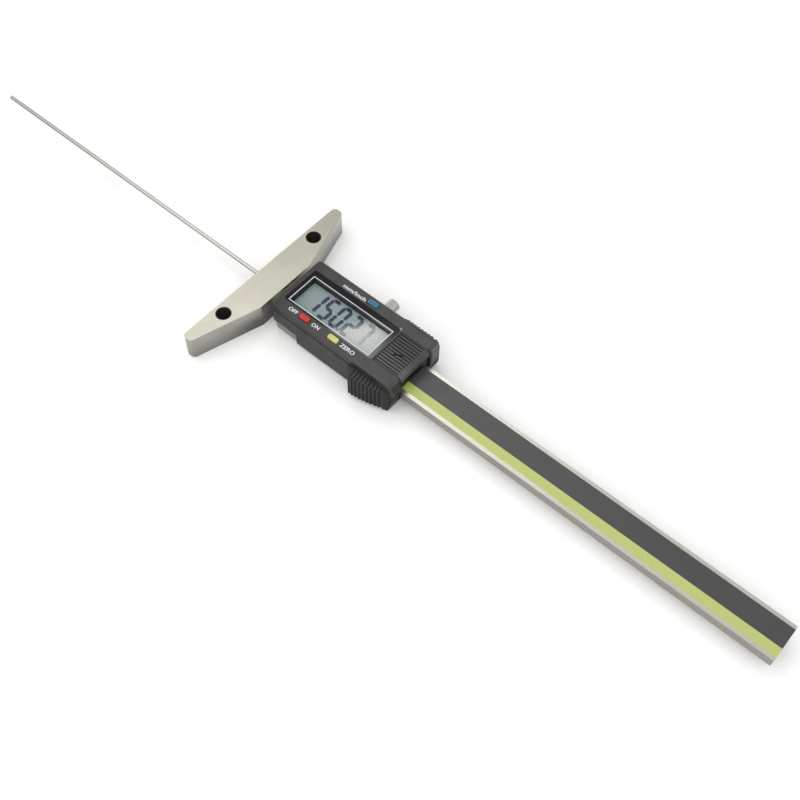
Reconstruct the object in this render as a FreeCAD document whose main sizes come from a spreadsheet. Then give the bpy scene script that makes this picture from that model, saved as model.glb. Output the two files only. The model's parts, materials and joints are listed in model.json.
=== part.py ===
import FreeCAD, Part
import os

import Sketcher

# Digital depth gauge, in millimetres.
#
# The origin is the centre of the base's measuring face, on the axis of the depth rod. +X runs along the beam
# to its far end, +Y is the side of the lock screw and +Z points out of the display. Two moving groups share
# this frame: the beam with its base, and the display slider, which carries the rod.

# Driving dimensions: name, value and meaning. They become the cells of the spreadsheet.
SIZES = [
    # Beam and scale
    ("beam_width", 17.4, "width of the steel beam"),
    ("beam_shift", 0.7, "middle of the beam, from the rod axis"),
    ("beam_thick", 4.8, "thickness of the beam"),
    ("beam_far", 265.0, "far end of the beam, from the measuring face"),
    ("beam_edge", 0.3, "chamfer on the beam's far end"),
    ("rod_dia", 1.8, "diameter of the depth rod"),
    ("rod_sink", 1.15, "rod axis above the beam's back face"),
    ("rod_nose", 0.4, "chamfer of the rod's tip"),
    ("rod_park", 0.3, "rod tip behind the measuring face when fully drawn in"),
    ("groove_side", 0.6, "rod groove beyond the rod, at each side"),
    ("groove_over", 0.35, "rod groove above the rod"),
    ("rail_low", 1.725, "steel edge beside the scale, low side"),
    ("rail_high", 1.6, "steel edge beside the scale, lock side"),
    ("board_thick", 0.7, "thickness of the scale board"),
    ("film_thick", 0.2, "thickness of the printed scale film"),
    # Base
    ("base_length", 96.0, "length of the base, from end to end"),
    ("base_depth", 14.9, "depth of the base, measuring face to back edge"),
    ("base_flat", 31.0, "length of the base's straight back edge"),
    ("base_tip", 4.9, "depth of the base at its ends"),
    ("base_thick", 12.5, "thickness of the base"),
    ("base_cover", 2.0, "base's top face above the beam's top face"),
    ("base_nose_wall", 3.0, "wall between the measuring face and the beam's end"),
    ("base_end_flat", 0.5, "what the rounding leaves straight at the base's ends"),
    ("base_edge", 0.15, "chamfer round the base's faces"),
    ("base_hole_dia", 6.6, "clearance hole for an M6 screw, to fix an extension base"),
    ("base_hole_pitch", 56.8, "distance between the two holes"),
    ("base_hole_x", 5.0, "hole axes behind the measuring face"),
    ("press_gap", 0.02, "gap per side of a pressed or fixed joint"),
    ("running_gap", 0.04, "radial clearance of a running fit"),
    # Screws
    ("beam_screw_dia", 3.0, "screws that hold the beam in the base"),
    ("beam_screw_head", 5.4, "their head diameter"),
    ("beam_screw_head_high", 2.4, "their head height"),
    ("beam_screw_bite", 2.4, "their thread length in the beam"),
    ("beam_screw_set", 6.0, "their distance behind the beam's front end"),
    ("beam_screw_inset", 2.8, "their distance inside the beam's edges"),
    ("small_screw_dia", 2.0, "all the small screws"),
    ("small_head_dia", 3.6, "their head diameter"),
    ("small_head_high", 1.1, "their head height"),
    ("screw_slack", 0.15, "radial clearance round a screw's shank and head"),
    ("recess_width", 0.5, "width of the drive slots"),
    ("recess_depth", 0.4, "depth of the drive slots"),
    # End stop
    ("stop_length", 4.9, "end stop, along the beam"),
    ("stop_side", 1.0, "end stop, inside the beam's edges"),
    ("stop_thick", 1.5, "end stop, thickness"),
    ("stop_inset", 0.2, "end stop, from the beam's far end"),
    ("stop_screw_inset", 3.2, "end stop's screws, inside the beam's edges"),
    ("stop_head_dia", 3.3, "head diameter of the end stop's screws"),
    ("low_head_high", 0.6, "head height of the end stop's and the rod clamp's screws"),
    ("stop_bite", 1.8, "their thread length in the beam"),
    ("stop_gap", 0.3, "gap left at the end stop when fully drawn back"),
    # Slide frame
    ("slide_front", 19.95, "slider's front end, from the measuring face"),
    ("slide_gap", 0.1, "clearance between the beam and the slide frame"),
    ("frame_inset_front", 1.35, "slide frame behind the slider's front end"),
    ("frame_inset_back", 2.6, "slide frame ahead of the slider's rear end"),
    ("frame_edge", 0.4, "chamfer of the slide frame's back, but for its low side"),
    ("frame_floor", 3.3, "thickness of the slide frame behind the beam"),
    ("lip_thick", 0.6, "thickness of the lips over the beam's edges"),
    ("lip_low_reach", 1.2, "lip over the beam's edge, low side"),
    ("lip_high_reach", 0.85, "lip over the beam's edge, lock side"),
    ("gib_thick", 1.5, "thickness of the gib strip"),
    ("gib_gap", 0.12, "gap behind the gib strip"),
    ("gib_edge", 0.3, "gib strip inside the beam's faces"),
    ("gib_inset", 1.4, "gib strip inside the frame, at each end"),
    ("gib_screw_set", 16.1, "first gib screw behind the slider's front end"),
    ("gib_screw_step", 7.0, "second gib screw behind the lock screw"),
    ("gib_screw_sink", 0.9, "gib screws below the frame's side"),
    ("access_dia", 2.6, "holes in the skirt for the gib screws"),
    # Grip housing
    ("strip_low", 5.3, "top cover beside the display bezel, low side"),
    ("strip_high", 5.7, "top cover beside the display bezel, lock side"),
    ("skirt_step", 0.25, "how far the skirt stands out from the top cover"),
    ("skirt_wall", 0.9, "wall of the skirt"),
    ("seat_gap", 0.05, "gap between pieces that seat in each other"),
    ("skirt_rise", 3.85, "skirt's side walls above the slide frame"),
    ("skirt_notch_length", 14.05, "length of the notch that bares the frame at the front"),
    ("skirt_notch_high", 5.5, "height of that notch"),
    ("skirt_notch_round", 1.3, "rounding at the end of that notch"),
    ("passage_gap", 0.3, "clearance beside the beam in the skirt's front wall"),
    ("skirt_corner", 1.6, "upright corners of the skirt and the cover"),
    ("skirt_lap", 1.2, "skirt's upper walls and grips ahead of the slider's rear end"),
    ("skirt_draw", 1.8, "how far the skirt's rear end draws in, down to its lower edge"),
    ("rear_mouth_low", 8.4, "rear mouth of the skirt, low side"),
    ("rear_mouth_high", 10.6, "rear mouth of the skirt, lock side"),
    ("tooth_pitch", 1.85, "pitch of the grip's scallops"),
    ("tooth_radius", 0.9, "radius of the grip's scallops"),
    ("tooth_out", 0.3, "centres of the scallops outside the grips' faces"),
    ("ledge_groove", 1.1, "width of the grooves across the low grip's ledge"),
    ("ledge_depth", 0.9, "depth of those grooves"),
    ("tooth_count", 9, "number of scallops on each grip"),
    ("grip_low_radius", 56.0, "arc of the low thumb grip"),
    ("grip_low_out", 5.05, "how far that arc's crown stands out from the skirt"),
    ("grip_low_crown", 24.2, "that crown ahead of the slider's rear end"),
    ("grip_low_length", 24.4, "length of the low thumb grip"),
    ("grip_low_flank", 4.2, "length of its front flank"),
    ("grip_flank_round", 2.6, "rounding at the end of a flank"),
    ("grip_high_out", 2.45, "how far the lock side grip stands out from the skirt"),
    ("grip_high_length", 23.8, "length of the lock side grip"),
    ("grip_high_flank", 3.0, "length of its front flank"),
    ("grip_high_tail", 4.0, "length of its rear slope, to the slider's rear end"),
    ("grip_high_end", 0.8, "how far the foot of that slope stands out from the skirt"),
    ("tooth_lead", 0.8, "first scallop behind the flank"),
    # Top cover
    ("cover_wall", 0.9, "walls of the top cover"),
    ("cover_edge", 0.8, "chamfer of the top cover's upper edge"),
    ("ceiling", 1.9, "thickness of the cover over the display"),
    ("bezel_setback", 2.8, "display bezel behind the slider's front end"),
    ("rim_front", 2.05, "bezel's rim round the clear opening, front end"),
    ("rim_back", 2.3, "bezel's rim, rear end"),
    ("rim_low", 1.25, "bezel's rim, low side"),
    ("rim_high", 3.15, "bezel's rim, lock side"),
    ("bezel_round", 1.2, "corners of the display bezel"),
    ("bezel_sink", 0.2, "bezel below the cover's top face"),
    ("bezel_ledge", 0.4, "ledge under the bezel"),
    ("glass_length", 44.5, "clear opening of the display, length"),
    ("glass_width", 15.6, "clear opening, width"),
    ("glass_shift", 0.35, "middle of the clear opening, from the rod axis"),
    ("glass_rim", 0.2, "rim over the display panel, inside the clear opening"),
    ("window_thick", 0.9, "thickness of the clear window"),
    ("lcd_border", 0.9, "display panel beyond the clear opening"),
    ("lcd_sink", 2.0, "display panel's face below the underside of the cover's top"),
    ("lcd_thick", 1.5, "thickness of the display panel"),
    # Circuit board and what it carries
    ("circuit_thick", 1.2, "thickness of the circuit board"),
    ("circuit_inset", 0.15, "clearance round the circuit board"),
    ("post_dia", 3.8, "width of the top cover's screw bosses"),
    ("post_set", 5.1, "screw bosses inside the frame's ends"),
    ("post_inset", 2.5, "screw bosses inside the frame's sides"),
    ("cover_screw_bite", 3.5, "thread length of a cover screw"),
    ("connector_inset", 1.25, "display's connector strip inside the clear opening, at each end"),
    ("connector_width", 1.8, "width of the connector strip"),
    ("chip_width", 6.4, "controller chip, width"),
    ("chip_high", 1.1, "height of the controller chip"),
    ("chip_shift", 1.5, "controller chip, from the middle of the clear opening"),
    # Buttons
    ("button_length", 5.4, "length of a button"),
    ("button_width", 2.5, "width of a button"),
    ("button_round", 0.85, "corners of a button"),
    ("button_proud", 0.7, "how far a button stands out of the cover"),
    ("button_gap", 0.2, "clearance round a button"),
    ("button_travel", 0.5, "how far a button travels"),
    ("button_flange", 1.0, "flange of a button, at each end"),
    ("button_flange_high", 0.6, "height of that flange"),
    ("button_low_set", 2.3, "buttons beside the bezel, low side"),
    ("button_high_set", 2.4, "button beside the bezel, lock side"),
    ("button_off_set", 12.1, "off/on button behind the clear opening's front end"),
    ("button_zero_set", 16.1, "zero button ahead of the clear opening's rear end"),
    ("button_unit_set", 15.5, "mm/inch button ahead of the clear opening's rear end"),
    ("switch_length", 4.4, "length of a key switch"),
    ("switch_width", 1.9, "width of a key switch"),
    # Battery
    ("cell_dia", 11.6, "button cell, diameter"),
    ("cell_high", 5.4, "button cell, height"),
    ("cell_cap_dia", 9.4, "cap of the cell that faces the board, diameter"),
    ("cell_cap_high", 0.4, "height of that cap"),
    ("cell_slack", 0.2, "clearance round the cell"),
    ("cell_head", 0.3, "room between the cell and the door"),
    ("cell_front_wall", 1.5, "door opening ahead of the cell's bay"),
    ("cell_back_wall", 2.2, "slider behind the cell's bay"),
    ("contact_thick", 0.2, "thickness of the battery contacts"),
    ("contact_width", 3.0, "width of the battery contacts"),
    ("door_ridge", 0.9, "ridge between the bezel and the battery door"),
    ("door_inset_low", 0.7, "door opening inside the bezel, low side"),
    ("door_inset_high", 0.8, "door opening inside the bezel, lock side"),
    ("door_thick", 1.2, "thickness of the battery door"),
    ("door_gap", 0.3, "gap round the battery door"),
    ("door_tongue", 0.8, "tongues along the door's sides"),
    ("door_tongue_high", 0.5, "height of the door's tongues"),
    ("rear_slope", 2.2, "slope across the cover's and the door's rear end, length"),
    ("rear_drop", 0.85, "height of that slope"),
    ("rear_lean", 0.8, "how far the rear face leans in, from the skirt's top to the slope"),
    ("door_lip_thick", 1.3, "thickness of the door's rear lip"),
    ("door_lip_high", 2.65, "height of the door's rear lip"),
    ("rib_groove", 0.55, "width of a groove in the door"),
    ("rib_depth", 0.55, "depth of a groove in the door"),
    ("rib_count", 12, "number of grooves in the door"),
    ("arrow_set", 4.4, "arrow behind the door's front end"),
    ("arrow_length", 4.1, "length of the arrow"),
    ("arrow_half", 2.1, "half width of the arrow"),
    ("arrow_depth", 0.2, "depth of the arrow"),
    ("arrow_slot", 0.9, "slot along the arrow's low side, width"),
    ("arrow_slot_depth", 0.95, "depth of that slot"),
    ("recess_high", 5.4, "rear recess of the top cover, height"),
    ("recess_deep", 1.1, "rear recess of the top cover, depth"),
    # Rod clamp
    ("clamp_set", 4.2, "rod clamp ahead of the slider's rear end"),
    ("clamp_length", 28.0, "rod clamp, length"),
    ("clamp_width", 12.0, "rod clamp, width"),
    ("clamp_thick", 1.2, "rod clamp, thickness of its plate"),
    ("block_length", 18.0, "rod clamp's block, length"),
    ("block_width", 6.0, "rod clamp's block, width"),
    ("shoe_side", 0.3, "rod groove beyond the clamp's shoe, at each side"),
    ("clamp_gap", 0.1, "gap round the rod clamp"),
    ("clamp_bite", 1.5, "thread length of the clamp's screws"),
    ("clamp_screw_inset", 2.5, "clamp's screws from its ends"),
    # Lock screw
    ("lock_set", 33.2, "lock screw ahead of the slider's rear end"),
    ("lock_shank_dia", 3.0, "lock screw's shank"),
    ("lock_collar_dia", 4.4, "lock screw's collar"),
    ("lock_collar_length", 0.7, "length of the collar"),
    ("lock_head_dia", 5.8, "lock screw's knurled head"),
    ("lock_head_length", 8.4, "length of the knurled head"),
    ("lock_head_edge", 0.4, "chamfer of the knurled head"),
    ("lock_tip_gap", 0.15, "lock screw's tip from the gib strip when loose"),
    ("lock_clear", 0.3, "clearance between the skirt and the lock screw"),
]

Z_AXIS = FreeCAD.Vector(0, 0, 1)
FLAT = 1e-4
OCTAGON = 2 ** 0.5 - 1

doc = FreeCAD.newDocument("DepthGauge")


class Dim:
    """A length that carries its value and the spreadsheet expression it comes from."""

    def __init__(self, value, text):
        self.value = float(value)
        self.text = text

    def __add__(self, other):
        return Dim(self.value + dim(other).value, f"({self.text} + {dim(other).text})")

    def __sub__(self, other):
        return Dim(self.value - dim(other).value, f"({self.text} - {dim(other).text})")

    def __mul__(self, factor):
        return Dim(self.value * dim(factor).value, f"({self.text} * {dim(factor).text})")

    def __truediv__(self, divisor):
        return Dim(self.value / dim(divisor).value, f"({self.text} / {dim(divisor).text})")

    def __neg__(self):
        return Dim(-self.value, f"(0 - {self.text})")


def dim(number):
    """A plain number as a Dim; a Dim stays as it is."""
    return number if isinstance(number, Dim) else Dim(number, repr(float(number)))


def make_sheet():
    """The spreadsheet of driving dimensions, and a Dim for each of its cells."""
    sheet = doc.addObject("Spreadsheet::Sheet", "Sizes")
    cells = {}
    for row, (name, value, meaning) in enumerate(SIZES, 1):
        sheet.set(f"A{row}", meaning)
        sheet.set(f"B{row}", str(value))
        sheet.setAlias(f"B{row}", name)
        cells[name] = Dim(value, f"Sizes.{name}")
    doc.recompute()
    return cells


S = make_sheet()
ZERO = dim(0)

# Levels above the rod axis
BEAM_BACK = -S["rod_sink"]
BEAM_TOP = BEAM_BACK + S["beam_thick"]
BEAM_MIDDLE = (BEAM_BACK + BEAM_TOP) / 2
GROOVE_TOP = S["rod_dia"] / 2 + S["groove_over"]
BASE_TOP = BEAM_TOP + S["base_cover"]
BASE_BACK = BASE_TOP - S["base_thick"]
STOP_BACK = BEAM_BACK - S["stop_thick"]
FRAME_INSIDE = BEAM_BACK - S["slide_gap"]
FRAME_BACK = FRAME_INSIDE - S["frame_floor"]
CLAMP_TOP = FRAME_BACK + S["clamp_thick"]
LIP_LOW = BEAM_TOP + S["slide_gap"]
FRAME_TOP = LIP_LOW + S["lip_thick"]
SKIRT_RIM = FRAME_TOP - S["seat_gap"]
SKIRT_TOP = FRAME_TOP + S["skirt_rise"]
CIRCUIT_TOP = FRAME_TOP + S["circuit_thick"]
CELL_BACK = CIRCUIT_TOP + S["contact_thick"]
CELL_TOP = CELL_BACK + S["cell_high"]
DOOR_UNDER = CELL_TOP + S["cell_head"]
COVER_TOP = DOOR_UNDER + S["door_thick"]
CEILING = COVER_TOP - S["ceiling"]
BEZEL_UNDER = CEILING + S["bezel_ledge"]
BEZEL_TOP = COVER_TOP - S["bezel_sink"]
LCD_TOP = CEILING - S["lcd_sink"]
LCD_UNDER = LCD_TOP - S["lcd_thick"]
BUTTON_UNDER = CEILING - S["button_gap"] - S["button_flange_high"]
SWITCH_TOP = BUTTON_UNDER - S["button_travel"] - S["seat_gap"]

# Places along the beam
SLIDE_FRONT = S["slide_front"]
FRAME_FRONT = SLIDE_FRONT + S["frame_inset_front"]
BEZEL_FRONT = SLIDE_FRONT + S["bezel_setback"]
GLASS_FRONT = BEZEL_FRONT + S["rim_front"]
GLASS_BACK = GLASS_FRONT + S["glass_length"]
GLASS_MIDDLE = (GLASS_FRONT + GLASS_BACK) / 2
BEZEL_BACK = GLASS_BACK + S["rim_back"]
BAY_BACK = BEZEL_BACK - S["bezel_ledge"]
DOOR_FRONT = BEZEL_BACK + S["door_ridge"]
CELL_X = DOOR_FRONT + S["cell_front_wall"] + S["cell_slack"] + S["cell_dia"] / 2
LEAF_BACK = CELL_X - S["cell_dia"] / 2 - S["seat_gap"]
LEAF_FRONT = LEAF_BACK - S["contact_thick"]
SLIDE_BACK = CELL_X + S["cell_dia"] / 2 + S["cell_slack"] + S["cell_back_wall"]
FRAME_REAR = SLIDE_BACK - S["frame_inset_back"]
LAP_BACK = SLIDE_BACK - S["skirt_lap"]
SLOPE_FRONT = SLIDE_BACK - S["rear_slope"]
SLOPE_FOOT = COVER_TOP - S["rear_drop"]
CIRCUIT_FRONT = SLIDE_FRONT + S["cover_wall"] + S["skirt_step"] + S["circuit_inset"]
CIRCUIT_BACK = SLIDE_BACK - S["recess_deep"] - S["cover_wall"] - S["circuit_inset"]
CLAMP_BACK = SLIDE_BACK - S["clamp_set"]
CLAMP_FRONT = CLAMP_BACK - S["clamp_length"]
BLOCK_FRONT = (CLAMP_FRONT + CLAMP_BACK - S["block_length"]) / 2
BLOCK_BACK = BLOCK_FRONT + S["block_length"]
LOCK_X = SLIDE_BACK - S["lock_set"]
STOP_REAR = S["beam_far"] - S["stop_inset"]
STOP_FRONT = STOP_REAR - S["stop_length"]
TRAVEL = STOP_FRONT - S["stop_gap"] - FRAME_REAR
ROD_TIP = S["rod_park"] - TRAVEL

# Places across the beam
BEAM_LOW = S["beam_shift"] - S["beam_width"] / 2
BEAM_HIGH = S["beam_shift"] + S["beam_width"] / 2
STOP_LOW = BEAM_LOW + S["stop_side"]
STOP_HIGH = BEAM_HIGH - S["stop_side"]
GLASS_LOW = S["glass_shift"] - S["glass_width"] / 2
GLASS_HIGH = S["glass_shift"] + S["glass_width"] / 2
BEZEL_LOW = GLASS_LOW - S["rim_low"]
BEZEL_HIGH = GLASS_HIGH + S["rim_high"]
DOOR_LOW = BEZEL_LOW + S["door_inset_low"]
DOOR_HIGH = BEZEL_HIGH - S["door_inset_high"]
DOOR_MIDDLE = (DOOR_LOW + DOOR_HIGH) / 2
COVER_LOW = BEZEL_LOW - S["strip_low"]
COVER_HIGH = BEZEL_HIGH + S["strip_high"]
SKIRT_LOW = COVER_LOW - S["skirt_step"]
SKIRT_HIGH = COVER_HIGH + S["skirt_step"]
TONGUE_LOW = SKIRT_LOW + S["skirt_wall"]
TONGUE_HIGH = SKIRT_HIGH - S["skirt_wall"]
FRAME_LOW = TONGUE_LOW + S["seat_gap"]
FRAME_HIGH = TONGUE_HIGH - S["seat_gap"]
BAY_LOW = FRAME_LOW + S["cover_wall"]
BAY_HIGH = FRAME_HIGH - S["cover_wall"]
GIB_LOW = BEAM_HIGH + S["slide_gap"]
GIB_HIGH = GIB_LOW + S["gib_thick"]
GIB_WALL = GIB_HIGH + S["gib_gap"]
GRIP_LOW = SKIRT_LOW - S["grip_low_out"]
GRIP_HIGH = SKIRT_HIGH + S["grip_high_out"]

BUTTONS = {
    "button_off_on": (GLASS_FRONT + S["button_off_set"], BEZEL_LOW - S["button_low_set"]),
    "button_zero": (GLASS_BACK - S["button_zero_set"], BEZEL_LOW - S["button_low_set"]),
    "button_mm_inch": (GLASS_BACK - S["button_unit_set"], BEZEL_HIGH + S["button_high_set"]),
}
POSTS = [
    (x, y)
    for x in (FRAME_FRONT + S["post_set"], FRAME_REAR - S["post_set"])
    for y in (FRAME_LOW + S["post_inset"], FRAME_HIGH - S["post_inset"])
]
GIB_SCREWS = [SLIDE_FRONT + S["gib_screw_set"], LOCK_X + S["gib_screw_step"]]
CLAMP_SCREWS = [
    (CLAMP_FRONT + S["clamp_screw_inset"], ZERO),
    (CLAMP_BACK - S["clamp_screw_inset"], ZERO),
]


# ---------------------------------------------------------------------------------------------
# Drawing helpers

def vector(x, y):
    return FreeCAD.Vector(x, y, 0)


def pin(profile, geometry, point, x, y):
    """Ties a point of the sketch to its two coordinates."""
    for kind, length in (("DistanceX", x), ("DistanceY", y)):
        number = profile.addConstraint(Sketcher.Constraint(kind, -1, 1, geometry, point, length.value))
        profile.setExpression(f"Constraints[{number}]", length.text)


def outline(*points):
    """Closed outline of straight lines through the points."""
    corners = [(dim(x), dim(y)) for x, y in points]

    def draw(profile):
        ends = [vector(x.value, y.value) for x, y in corners]
        first = profile.GeometryCount
        for start, end in zip(ends, ends[1:] + ends[:1]):
            profile.addGeometry(Part.LineSegment(start, end))
        for index, (x, y) in enumerate(corners):
            before = first + (index - 1) % len(corners)
            profile.addConstraint(Sketcher.Constraint("Coincident", before, 2, first + index, 1))
            pin(profile, first + index, 1, x, y)

    return draw


def box(x_low, x_high, y_low, y_high):
    """Rectangle between two pairs of limits."""
    return outline((x_low, y_low), (x_high, y_low), (x_high, y_high), (x_low, y_high))


def disc(x, y, diameter):
    """Circle about a point."""
    middle = (dim(x), dim(y))
    radius = dim(diameter) / 2

    def draw(profile):
        circle = Part.Circle(vector(middle[0].value, middle[1].value), Z_AXIS, radius.value)
        number = profile.addGeometry(circle)
        pin(profile, number, 3, *middle)
        limit = profile.addConstraint(Sketcher.Constraint("Radius", number, radius.value))
        profile.setExpression(f"Constraints[{limit}]", radius.text)

    return draw


def prism(x, y, width):
    """Eight-sided outline about a point, which stands for a screw's thread or its hole."""
    x = dim(x)
    y = dim(y)
    half = width / 2
    side = half * OCTAGON
    return outline((x - half, y - side), (x - side, y - half), (x + side, y - half), (x + half, y - side),
                   (x + half, y + side), (x + side, y + half), (x - side, y + half), (x - half, y + side))


def new_body(label):
    body = doc.addObject("PartDesign::Body", label)
    body.Label = label
    return body


def sketch(body, role, offset):
    """Empty sketch on one of the body's origin planes, moved along the plane's normal."""
    profile = body.newObject("Sketcher::SketchObject", "Profile")
    plane = next(item for item in body.Origin.OriginFeatures if item.Role == role)
    profile.AttachmentSupport = [(plane, "")]
    profile.MapMode = "FlatFace"
    profile.setExpression(".AttachmentOffset.Base.z", offset.text)
    return profile


def extrude(body, axis, low, high, *shapes, cut=False):
    """Adds, or cuts, the shapes between two limits along an axis.

    Shapes on axis x are drawn in Y and Z, on axis y in X and Z, on axis z in X and Y.
    """
    low = dim(low)
    high = dim(high)
    role, start = {"x": ("YZ_Plane", low), "y": ("XZ_Plane", -high), "z": ("XY_Plane", low)}[axis]
    profile = sketch(body, role, start)
    for draw in shapes:
        draw(profile)
    feature = body.newObject("PartDesign::Pocket" if cut else "PartDesign::Pad", "Cut" if cut else "Add")
    feature.Profile = profile
    feature.Reversed = cut
    feature.setExpression("Length", (high - low).text)
    return feature


def carve(body, axis, low, high, *shapes):
    """Cuts the shapes out between two limits along an axis."""
    return extrude(body, axis, low, high, *shapes, cut=True)


def repeat(body, feature, direction, spacing, count):
    """Copies a feature along an axis of its own sketch."""
    doc.recompute()
    pattern = body.newObject("PartDesign::LinearPattern", "Row")
    pattern.Originals = [feature]
    pattern.Direction = (feature.Profile[0], [direction])
    pattern.Mode = "Spacing"
    pattern.setExpression("Offset", spacing.text)
    pattern.setExpression("Occurrences", count.text)
    body.Tip = pattern
    return pattern


def finish_edges(body, kind, size, wanted):
    """Rounds or chamfers the edges that the test picks on the body so far."""
    doc.recompute()
    base = body.Tip
    names = [f"Edge{number}" for number, edge in enumerate(base.Shape.Edges, 1) if wanted(edge)]
    if not names:
        raise RuntimeError(f"{body.Label}: no edge to finish")
    feature = body.newObject(f"PartDesign::{kind}", kind)
    feature.Base = (base, names)
    feature.setExpression("Radius" if kind == "Fillet" else "Size", size.text)
    return feature


def fillet(body, radius, wanted):
    return finish_edges(body, "Fillet", radius, wanted)


def chamfer(body, size, wanted):
    return finish_edges(body, "Chamfer", size, wanted)


def level(edge, axis, place):
    """True for an edge that lies all in one plane across an axis."""
    bounds = edge.BoundBox
    low, high = {"x": (bounds.XMin, bounds.XMax), "y": (bounds.YMin, bounds.YMax),
                 "z": (bounds.ZMin, bounds.ZMax)}[axis]
    return abs(low - place.value) < FLAT and abs(high - place.value) < FLAT


def upright_at(edge, x, y):
    """True for a straight edge along Z through a point of the plan."""
    return level(edge, "x", dim(x)) and level(edge, "y", dim(y))


def corners(x_low, x_high, y_low, y_high):
    """Test for the four upright corner edges of a rectangle."""
    places = [(x, y) for x in (x_low, x_high) for y in (y_low, y_high)]
    return lambda edge: any(upright_at(edge, x, y) for x, y in places)


# ---------------------------------------------------------------------------------------------
# Beam group

def make_beam():
    """Steel beam with the recess for the scale, the rod groove and its screw holes."""
    body = new_body("beam")
    start = S["base_nose_wall"] + S["press_gap"]
    extrude(body, "x", start, S["beam_far"], box(BEAM_LOW, BEAM_HIGH, BEAM_BACK, BEAM_TOP))
    chamfer(body, S["beam_edge"], lambda edge: level(edge, "x", S["beam_far"]))
    carve(body, "z", BEAM_TOP - S["board_thick"] - S["film_thick"], BEAM_TOP, scale_plan())
    groove = groove_half()
    carve(body, "x", start, S["beam_far"], box(-groove, groove, BEAM_BACK, GROOVE_TOP))
    fit = S["press_gap"] * 2
    carve(body, "z", BEAM_BACK, BEAM_BACK + S["beam_screw_bite"] + S["press_gap"],
          *[prism(x, y, S["beam_screw_dia"] + fit) for x, y in beam_screw_places()])
    carve(body, "z", BEAM_BACK, BEAM_BACK + S["stop_bite"] + S["press_gap"],
          *[prism(x, y, S["small_screw_dia"] + fit) for x, y in stop_screw_places()])
    return body


def groove_half():
    """Half width of the rod groove."""
    return S["rod_dia"] / 2 + S["groove_side"]


def scale_plan():
    """Plan of the scale, from the base's back edge to the beam's far end."""
    return box(S["base_depth"] + S["stop_gap"], S["beam_far"],
               BEAM_LOW + S["rail_low"], BEAM_HIGH - S["rail_high"])


def make_scale_board():
    """Grating board in the beam's recess."""
    body = new_body("scale_board")
    top = BEAM_TOP - S["film_thick"]
    extrude(body, "z", top - S["board_thick"], top, scale_plan())
    return body


def make_scale_film():
    """Printed film over the grating board, flush with the beam's edges."""
    body = new_body("scale_film")
    extrude(body, "z", BEAM_TOP - S["film_thick"], BEAM_TOP, scale_plan())
    return body


def beam_screw_places():
    x = S["base_nose_wall"] + S["beam_screw_set"]
    inset = S["beam_screw_inset"]
    return [(x, BEAM_LOW + inset), (x, BEAM_HIGH - inset)]


def stop_screw_places():
    x = (STOP_FRONT + STOP_REAR) / 2
    inset = S["stop_screw_inset"]
    return [(x, BEAM_LOW + inset), (x, BEAM_HIGH - inset)]


def make_base():
    """Measuring base: ground face, two holes, the beam's socket and the rod's guide hole."""
    body = new_body("base")
    half = S["base_length"] / 2
    flat = S["base_flat"] / 2
    depth = S["base_depth"]
    tip = S["base_tip"]
    extrude(body, "z", BASE_BACK, BASE_TOP, outline(
        (ZERO, -half), (tip, -half), (depth, -flat), (depth, flat), (tip, half), (ZERO, half)))
    fillet(body, (tip - S["base_end_flat"]) / 2, corners(ZERO, tip, -half, half))
    chamfer(body, S["base_edge"], lambda edge: level(edge, "z", BASE_TOP) or level(edge, "z", BASE_BACK))
    hole = S["base_hole_pitch"] / 2
    carve(body, "z", BASE_BACK, BASE_TOP,
          *[disc(S["base_hole_x"], y, S["base_hole_dia"]) for y in (-hole, hole)])
    gap = S["press_gap"]
    carve(body, "x", S["base_nose_wall"], depth,
          box(BEAM_LOW - gap, BEAM_HIGH + gap, BEAM_BACK - gap, BEAM_TOP + gap))
    carve(body, "x", ZERO, S["base_nose_wall"], disc(ZERO, ZERO, S["rod_dia"] + S["running_gap"] * 2))
    counterbore(body, beam_screw_places(), BASE_BACK, BEAM_BACK,
                S["beam_screw_dia"], S["beam_screw_head"], S["beam_screw_head_high"])
    return body


def make_beam_screws():
    """Two screws that hold the beam in the base, from behind."""
    body = new_body("beam_screws")
    add_screws(body, beam_screw_places(), BASE_BACK, BEAM_BACK + S["beam_screw_bite"],
               S["beam_screw_dia"], S["beam_screw_head"], S["beam_screw_head_high"])
    return body


def add_screws(body, places, low, high, dia, head_dia, head_high):
    """Screws, heads down, with their cross recesses."""
    extrude(body, "z", low, low + head_high, *[disc(x, y, head_dia) for x, y in places])
    extrude(body, "z", low + head_high, high, *[prism(x, y, dia) for x, y in places])
    carve(body, "z", low, low + S["recess_depth"], *[drive_cross(x, y) for x, y in places])


def counterbore(body, places, low, high, dia, head_dia, head_high):
    """Stepped clearance holes for screws."""
    slack = S["screw_slack"] * 2
    carve(body, "z", low, high, *[prism(x, y, dia + slack) for x, y in places])
    carve(body, "z", low, low + head_high, *[disc(x, y, head_dia + slack) for x, y in places])


def drive_cross(x, y):
    """Cross recess of a small screw."""
    long = S["small_head_dia"] / 4 + S["recess_width"] / 4
    half = S["recess_width"] / 2
    x = dim(x)
    y = dim(y)
    return outline(
        (x - long, y - half), (x - half, y - half), (x - half, y - long), (x + half, y - long),
        (x + half, y - half), (x + long, y - half), (x + long, y + half), (x + half, y + half),
        (x + half, y + long), (x - half, y + long), (x - half, y + half), (x - long, y + half))


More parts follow.
